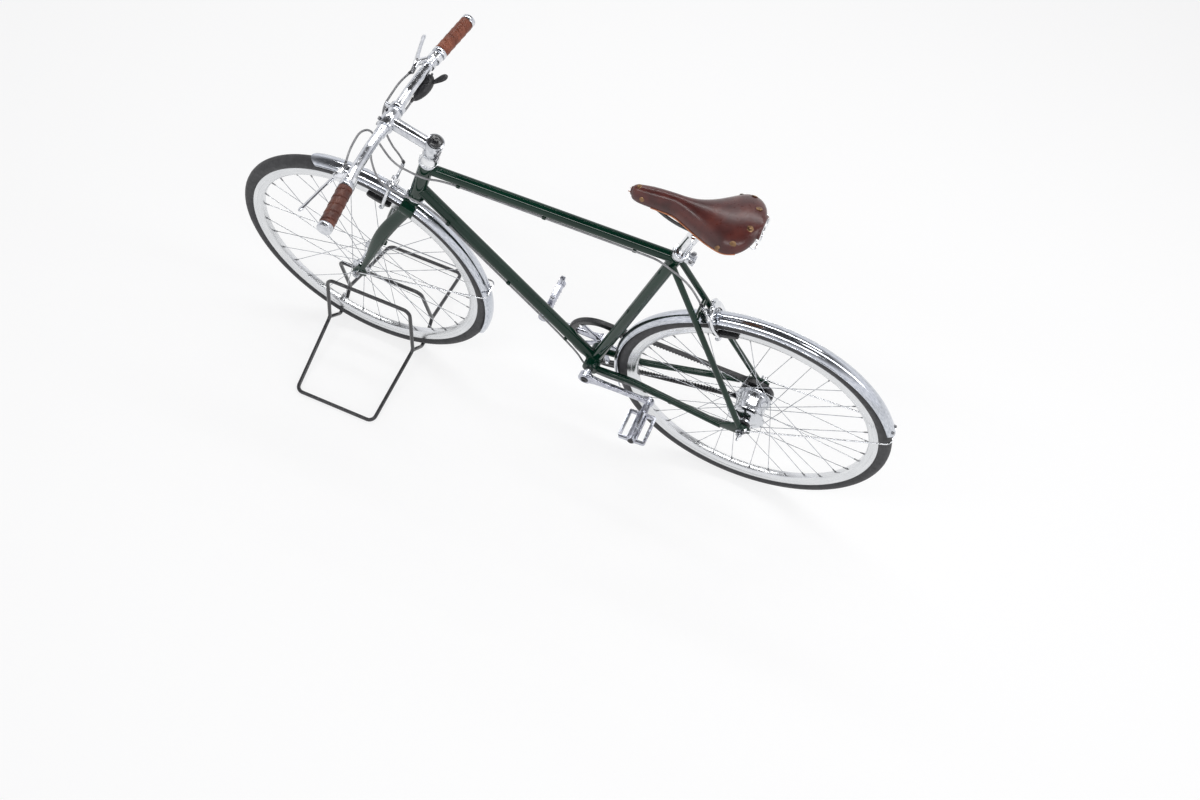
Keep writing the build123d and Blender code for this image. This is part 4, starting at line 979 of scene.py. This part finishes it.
def belt():
    """Toothed on its inside where it runs free, smooth where it lies on the pulleys."""
    gap, thick, tooth = 0.3, 2.6, 3.6
    span = rear_axle - bracket
    level = Vector((0, BELT_OFFSET * MM, 0))
    tilt, lean = math.atan2(span.z, span.x), math.acos((front_radius - rear_radius) * MM / span.length)
    line = []                                      # (place on the inside face, outward, share of a tooth)

    def arc(centre, radius, begin, finish):
        steps = max(8, int(abs(finish - begin) * radius / 1.5))
        for k in range(steps):
            a = begin + (finish - begin) * k / steps
            out = Vector((math.cos(a), 0, math.sin(a)))
            line.append((centre + level + out * (radius + gap) * MM, out, 0.0))

    def run(start, end, out):
        length = (end - start).length / MM
        steps = int(length / PITCH) * 8
        for k in range(steps):
            near = min(k, steps - k) / 8 * PITCH
            share = (0.0, 0.0, 0.0, 0.55, 1.0, 1.0, 1.0, 0.55)[k % 8] if near > 16 else 0.0
            line.append((start.lerp(end, k / steps), out, share))

    up, down = tilt + lean, tilt - lean
    for a, first, second in ((up, (bracket, front_radius), (rear_axle, rear_radius)),
                             (down, (rear_axle, rear_radius), (bracket, front_radius))):
        out = Vector((math.cos(a), 0, math.sin(a)))
        run(first[0] + level + out * (first[1] + gap) * MM, second[0] + level + out * (second[1] + gap) * MM,
            out)
        if a == up:
            arc(rear_axle, rear_radius, up, down)
    arc(bracket, front_radius, down, up - TURN)
    rows = []
    for place, out, share in line:
        inside, outside = place - out * tooth * share * MM, place + out * thick * MM
        side = ACROSS * BELT_HALF * MM
        rows.append([inside - side, inside + side, outside + side - out * 0.5 * MM, outside + side * 0.9,
                     outside - side * 0.9, outside - side - out * 0.5 * MM])
    publish(skin("toothed_belt", rows, loop=True), "belt_black", "frame", replaces=["drive_belt"], sharp=30)


def toothed_ring(name, centre, teeth, radius, inner, low, high):
    """A pulley's rim with a round-bottomed groove for each tooth of the belt."""
    steps = teeth * 10
    rows = []
    for level, outer in ((low, False), (low, True), (high, True), (high, False)):
        row = []
        for k in range(steps):
            a = TURN * k / steps
            dip = 3.2 * max(0.0, math.sin(a * teeth)) ** 0.6
            r = radius - dip if outer else inner
            row.append(centre + Vector((r * math.cos(a), level, r * math.sin(a))) * MM)
        rows.append(row)
    return skin(name, rows, loop=True)


def drive():
    belt()
    low, high = BELT_OFFSET - BELT_HALF, BELT_OFFSET + BELT_HALF
    ring = [toothed_ring("ring", bracket, FRONT_TEETH, front_radius, front_radius - 9, low + 1, high - 1),
            turned("web", [(low + 3, front_radius - 8.5), (low + 3, front_radius - 17),
                           (high - 3, front_radius - 17),
                           (high - 3, front_radius - 8.5)], bracket, ACROSS, 160, loop=True)]
    publish(join("front_pulley_ring", ring), "black_metal", "crankset", replaces=["front_pulley"])
    bolts = []
    for arm in range(5):
        a = math.radians(72 * arm - 4 + 180 + 36)
        place = bracket + (Vector((math.cos(a), 0,
                                   math.sin(a))) * (front_radius - 14.5) + ACROSS * (high - 2)) * MM
        bolts.append(socket_bolt("ring_bolt", place, ACROSS, 4.8, 3.4))
        bolts.append(turned("ring_nut", [(0, 5.0), (1.6, 5.0), (2.2, 4.2), (2.2, 2.4), (1.0, 2.4)],
                            place - ACROSS * (2 * BELT_HALF - 4) * MM, -ACROSS, 24))
    publish(join("pulley_bolts", bolts), "polished", "crankset", "chrome")
    cog = [toothed_ring("cog", rear_axle, REAR_TEETH, rear_radius, 24.0, low + 0.5, high - 0.5),
           turned("web", [(low + 3, 24.4), (low + 3, 17.6), (high - 3, 17.6), (high - 3, 24.4)], rear_axle,
                  ACROSS, 64,
                  loop=True),
           turned("boss", [(low - 5.7, 5.2), (low - 5.7, 17), (low - 4.7, 18), (high + 2, 18), (high + 3, 17),
                           (high + 3, 11), (high + 1.5, 10.5), (high + 1.5,
                                                                5.2)], rear_axle, ACROSS, 64, loop=True)]
    publish(join("rear_pulley_cog", cog), "black_metal", "rear_pulley", replaces=["rear_pulley"])
    covers = []
    for side in (-1, 1):
        covers.append(turned("crank_cover", [(0, 9.5), (1.8, 9.5), (2.8, 8.6), (3.0, 5.2, 6), (1.2, 5.2, 6)],
                             bracket + ACROSS * side * 66.8 * MM, ACROSS * side, 36))
    publish(join("crank_bolt_covers", covers), "black_metal", "crankset", "black_plastic")


def ringed(name, corners, wall, height, lift):
    """A band of the given height round a closed line of corners, its wall thick on the inside."""
    middle = sum(corners, Vector()) / len(corners)
    rows = []
    for k, place in enumerate(corners):
        along = (corners[(k + 1) % len(corners)] - corners[k - 1]).normalized()
        inward = lift.cross(along).normalized()
        inward *= 1 if inward.dot(middle - place) > 0 else -1
        rows.append([place + (inward * i + lift * h) * MM for i, h in
                     ((0, -height), (0, height), (wall * 0.3, height + 0.4), (wall, height), (wall, -height),
                      (wall * 0.3, -height - 0.4))])
    return skin(name, rows, loop=True)


def pedals():
    """An open cage with two windows, the barrel through its middle, and the rows of teeth on its plates."""
    near, far, reach, corner = 100.0, 180.5, 34.5, 6.0
    for word, side, tilt in (("left", -1, 6.0), ("right", 1, 82.0)):
        node = word + "_pedal"
        eye = joint_place(word + "_pedal_spin")
        eye.y = 0.0
        a = math.radians(tilt)
        along, lift = Vector((math.cos(a), 0, math.sin(a))), Vector((-math.sin(a), 0, math.cos(a)))

        def place(ahead, aside, up=0.0):
            return eye + (ACROSS * side * aside + along * ahead + lift * up) * MM

        line = []
        for quarter, (x, y) in enumerate(((reach, far), (-reach, far), (-reach, near), (reach, near))):
            for k in range(5):
                b = TURN / 4 * (quarter + k / 4)
                line.append(place(x - math.copysign(corner, x) + corner * math.cos(b),
                                  y - math.copysign(corner, y - 140) + corner * math.sin(b)))
        parts = [ringed("cage", line, 6.6, 5.4, lift)]
        for end in (-1, 1):
            parts.append(lofted("web", [(place(end * 11.5, near + 3), 1.4, 4.2),
                                        (place(end * 11.5, 140), 1.4, 4.6),
                                        (place(end * 11.5, far - 3), 1.4, 4.2)], lift, 6.0, 12, 2))
            for face in (-1, 1):
                for k in range(7):
                    parts.append(turned("tooth", [(0, 2.2), (1.4, 1.8), (2.2, 0.8)],
                                        place(end * (reach - 3), 109 + k * 10.4, face * 5.2), lift * face, 8))
        parts.append(turned("barrel", [(77, 6), (77, 8.4), (80, 9.2), (92, 9.4), (96, 10.8), (104, 10.8),
                                       (108, 9.6),
                                       (168, 9.2), (171, 11), (180,
                                                               11), (181.4,
                                                                     10), (181.4, 6)], eye, ACROSS * side,
                            40, loop=True))
        publish(join(node + "_cage", parts), "polished", node, "darker_polished", [node], sharp=30)
        publish(turned(node + "_cap", [(0, 7.6), (1.4, 7.6), (2.4, 6.6), (2.4, 3.2, 6), (1.4, 3.2, 6)],
                       place(0, 181.2), ACROSS * side, 30), "black_plastic", node)


CRANK_LENGTH, CRANK_MIDDLE, SPIDER_ARMS = 170, 59, 5


def cranks():
    """Forged arms that taper from the boss to the pedal's eye, and the right one's spider."""
    lean = 5.0
    for word, side in (("left", -1), ("right", 1)):
        node = word + "_crank"
        eye = joint_place(word + "_pedal_spin")
        eye.y = 0.0
        line = (eye - bracket).normalized()
        middle = ACROSS * side * CRANK_MIDDLE

        def place(run):
            return bracket + (line * run + middle + ACROSS * side * lean * run / CRANK_LENGTH) * MM

        arm = [(place(-16), 6.0, 5.0), (place(-13), 12.0, 7.2), (place(0), 16.4, 7.4), (place(16), 15.4, 7.3),
               (place(32), 11.6, 7.0), (place(60), 9.6, 6.7), (place(100), 8.8, 6.3), (place(140), 8.8, 6.2),
               (place(157), 11.0, 6.2), (place(CRANK_LENGTH), 12.6,
                                         6.4), (place(179), 9.6, 6.0), (place(183), 3.0, 4.0)]
        parts = [lofted("arm", arm, ACROSS, 3.0, 36, 6)]
        start = 43.0 if side > 0 else 50.0
        parts.append(turned("boss", [(start, 9), (start, 16), (start + 1.2, 17.4), (65.4, 17.4), (67, 16.2),
                                     (67.2, 10.4), (66, 9)], bracket, ACROSS * side, 64, loop=True))
        parts.append(turned("eye", [(57.4, 6), (57.4, 11.6), (58.4, 12.4), (70.2, 12.4), (71.4, 11.4),
                                    (71.4, 6)], eye,
                            ACROSS * side, 48, loop=True))
        if side > 0:
            for k in range(SPIDER_ARMS):
                a = math.radians(72 * k - 4 + 180 + 36)
                out = Vector((math.cos(a), 0, math.sin(a)))
                foot = bracket + ACROSS * BELT_OFFSET * MM
                parts.append(lofted("spider", [(foot + out * 12 * MM, 9.0, 3.4),
                                               (foot + out * 34 * MM, 7.4, 3.4),
                                               (foot + out * 60 * MM, 6.6, 3.2),
                                               (foot + out * (front_radius - 16) * MM, 7.6, 2.8),
                                               (foot + out * (front_radius - 9) * MM, 7.0,
                                                2.6)], ACROSS, 3.4, 24, 3))
        # The arms take the darker, lilac-grey copy of the polished metal: painted shade for their dark band.
        publish(join(node + "_arm", parts), "polished", body_of[node], "darker_polished", [node], sharp=34)


# ---------------------------------------------------------------- frame
def weld(name, foot, branch, radius, root, main, main_radius):
    """The bead where a tube (foot, branch, radius) meets a larger one (root, main, main_radius)."""
    side = branch.cross(main).normalized()
    other = side.cross(branch)
    points = []
    for k in range(40):
        a = TURN * k / 40
        start = foot + (side * math.cos(a) + other * math.sin(a)) * radius * MM
        gap = start - root
        flat_gap, flat_run = gap - main * gap.dot(main), branch - main * branch.dot(main)
        qa, qb = flat_run.length_squared, 2 * flat_gap.dot(flat_run)
        qc = flat_gap.length_squared - (main_radius * MM) ** 2
        root_of = max(qb * qb - 4 * qa * qc, 0.0)
        t = (-qb - math.sqrt(root_of)) / (2 * qa)
        points.append(start + branch * t)
    rows = []
    for k, place in enumerate(points):
        along = (points[(k + 1) % 40] - points[k - 1]).normalized()
        out = (place - foot - branch * (place - foot).dot(branch)).normalized()
        third = along.cross(out)
        rows.append([place + (out * math.cos(b) + third * math.sin(b)) * 1.9 * MM
                     for b in (TURN * j / 8 for j in range(8))])
    return skin(name, rows, loop=True)


def frame_details():
    head_top = on_steerer(135)
    top_front, top_rear = on_steerer(135 - 21.5), seat_top - seat_axis * 21.5 * MM
    down_front = on_steerer(34)
    rearward = (top_rear - top_front).normalized()
    downward = (bracket - down_front).normalized()
    beads = [weld("bead", top_rear - rearward * 0.2, rearward, 12.7, seat_top, seat_axis, 14.3),
             weld("bead", top_front + rearward * 0.2, -rearward, 12.7, head_foot, steering_axis, 17.0),
             weld("bead", down_front + downward * 0.2, -downward, 14.3, head_foot, steering_axis, 17.0),
             weld("bead", bracket - downward * 0.2, downward, 14.3, bracket, ACROSS, 20.0),
             weld("bead", bracket + seat_axis * 0.2, -seat_axis, 14.3, bracket, ACROSS, 20.0)]
    publish(join("frame_welds", beads), "frame_paint", "frame")
    lugs = [turned("collar", [(-9, 14.35), (-8.4, 15.4), (-0.6, 15.4), (0, 14.8), (0, 13.7)], seat_top,
                   seat_axis, 64),
            turned("foot_collar", [(0, 17.05), (0.6, 18.2), (5, 18.2), (5.8, 17.05)], head_foot,
                   steering_axis, 64,
                   loop=True),
            turned("head_collar", [(-5.8, 17.05), (-5, 18.2), (-0.6, 18.2), (0, 17.05)], head_top,
                   steering_axis, 64,
                   loop=True)]
    publish(join("frame_collars", lugs), "frame_paint", "frame")
    nuts = []
    behind = Vector((seat_axis.z, 0, -seat_axis.x))
    lug = seat_top + (seat_axis * 7.5 + behind * 26) * MM
    nuts.append(socket_bolt("seat_bolt", lug - ACROSS * 9.6 * MM, -ACROSS, 4.6, 4.0))
    nuts.append(hex_nut("seat_bolt_nut", lug + ACROSS * 9.6 * MM, ACROSS, 9, 4))
    publish(join("seat_clamp_bolt", nuts), "chrome", "frame", "nipple")
    for word, axle, face, outer, body in (("rear", rear_axle, 71.1, 10.6, "frame"),
                                          ("front", front_axle, 55.1, 9.6, "front_end")):
        outline = [(face, 5.2), (face, outer), (face + 1.5, outer), (face + 1.5, 5.2)]
        washers = [turned("washer", outline, axle, ACROSS * side, 40, loop=True) for side in (-1, 1)]
        publish(join(word + "_axle_washers", washers), "spoke_steel", body)


# ---------------------------------------------------------------- camera, floor and light
def camera():
    data = bpy.data.cameras.new("camera")
    data.sensor_width, data.lens = 36.0, 33.583
    data.clip_start, data.clip_end = 0.05, 60.0
    place, aim, roll = Vector((0.5688, -1.3442, 2.6828)), Vector((0.1905, -0.1618, 0.4)), math.radians(6.217)
    sight = (aim - place).normalized()
    level = sight.cross(UP).normalized()
    rise = level.cross(sight)
    right = level * math.cos(roll) + rise * math.sin(roll)
    up = rise * math.cos(roll) - level * math.sin(roll)
    turn = Matrix((right, up, -sight)).transposed().to_4x4()
    turn.translation = place
    view = bpy.data.objects.new("camera", data)
    bpy.context.scene.collection.objects.link(view)
    view.matrix_world = turn
    bpy.context.scene.camera = view


def floor():
    """Pale to the camera and in reflections, with the object's shadow kept faint."""
    look = Surface("floor", 0.9)
    tree = look.tree
    path = look.node("LightPath")
    seen = look.maths("MAXIMUM", path.outputs["Is Camera Ray"], path.outputs["Is Glossy Ray"])
    seen = look.maths("MAXIMUM", seen, path.outputs["Is Transmission Ray"])
    ground = look.node("BsdfDiffuse", {"Color": (0.8, 0.8, 0.8, 1)})
    soft = look.node("BsdfDiffuse", {"Color": (0.3, 0.3, 0.302, 1)})
    glow = look.node("Emission", {"Color": (1, 1, 1, 1), "Strength": 0.72})
    lit = look.node("AddShader", {0: soft.outputs[0], 1: glow.outputs[0]})
    both = look.node("MixShader", {0: seen, 1: ground.outputs[0], 2: lit.outputs[0]})
    tree.links.new(both.outputs[0], tree.nodes["Material Output"].inputs["Surface"])
    tree.nodes.remove(look.shader)
    half = 12.0
    mesh = bpy.data.meshes.new("floor")
    mesh.from_pydata([(-half, -half, 0), (half, -half, 0), (half, half, 0), (-half, half, 0)], [],
                     [(0, 1, 2, 3)])
    mesh.materials.append(look.material)
    piece = bpy.data.objects.new("floor", mesh)
    bpy.context.scene.collection.objects.link(piece)


def light():
    """White walls that darken towards the ceiling, and long soft lamps overhead."""
    world = bpy.data.worlds.new("studio")
    bpy.context.scene.world = world
    world.use_nodes = True
    tree = world.node_tree
    room = tree.nodes["Background"]
    place = tree.nodes.new("ShaderNodeTexCoord")
    height = tree.nodes.new("ShaderNodeSeparateXYZ")
    ramp = tree.nodes.new("ShaderNodeValToRGB")
    stops = ((0.0, 1.0), (0.3, 1.0), (0.5, 0.5), (0.66, 0.14), (1.0, 0.06))
    while len(ramp.color_ramp.elements) < len(stops):
        ramp.color_ramp.elements.new(0.5)
    for element, (where, value) in zip(ramp.color_ramp.elements, stops):
        element.position, element.color = where, (value, value, value * 1.03, 1)
    tree.links.new(place.outputs["Generated"], height.inputs[0])
    tree.links.new(height.outputs["Z"], ramp.inputs[0])
    tree.links.new(ramp.outputs[0], room.inputs["Color"])
    seen = tree.nodes.new("ShaderNodeBackground")
    seen.inputs["Color"].default_value = (1, 1, 1, 1)
    path = tree.nodes.new("ShaderNodeLightPath")
    choose = tree.nodes.new("ShaderNodeMixShader")
    tree.links.new(path.outputs["Is Camera Ray"], choose.inputs[0])
    tree.links.new(room.outputs[0], choose.inputs[1])
    tree.links.new(seen.outputs[0], choose.inputs[2])
    tree.links.new(choose.outputs[0], tree.nodes["World Output"].inputs["Surface"])
    for name, x, y, z, size, power in (("left_lamp", 0.0, -1.6, 3.0, (4.2, 0.35), 42.0),
                                       ("right_lamp", 0.0, 1.5, 2.8, (4.2, 0.3), 34.0),
                                       ("back_lamp", 2.6, 0.2, 2.7, (0.5, 3.0), 22.0)):
        data = bpy.data.lights.new(name, "AREA")
        data.shape = "RECTANGLE"
        data.size, data.size_y = size
        data.energy = power
        lamp = bpy.data.objects.new(name, data)
        bpy.context.scene.collection.objects.link(lamp)
        lamp.location = (x, y, z)
        lamp.rotation_euler = (Vector((0, 0, 0.4)) - lamp.location).to_track_quat("-Z", "Y").to_euler()
        lamp.visible_camera = False


camera()
cables()
finish_nodes()
wheels()
fenders()
saddle()
grip("left_grip", -1, "grip_brown")
# The right grip takes the lighter copy of the same leather, as painted light.
grip("right_grip", 1, "grip_painted_lighter")
lever("left_brake_lever", -1)
lever("right_brake_lever", 1)
shifter()
stem_details()
brakes()
cable_guides()
drive()
cranks()
pedals()
frame_details()
floor()
light()
bpy.context.scene.view_settings.view_transform = "Standard"
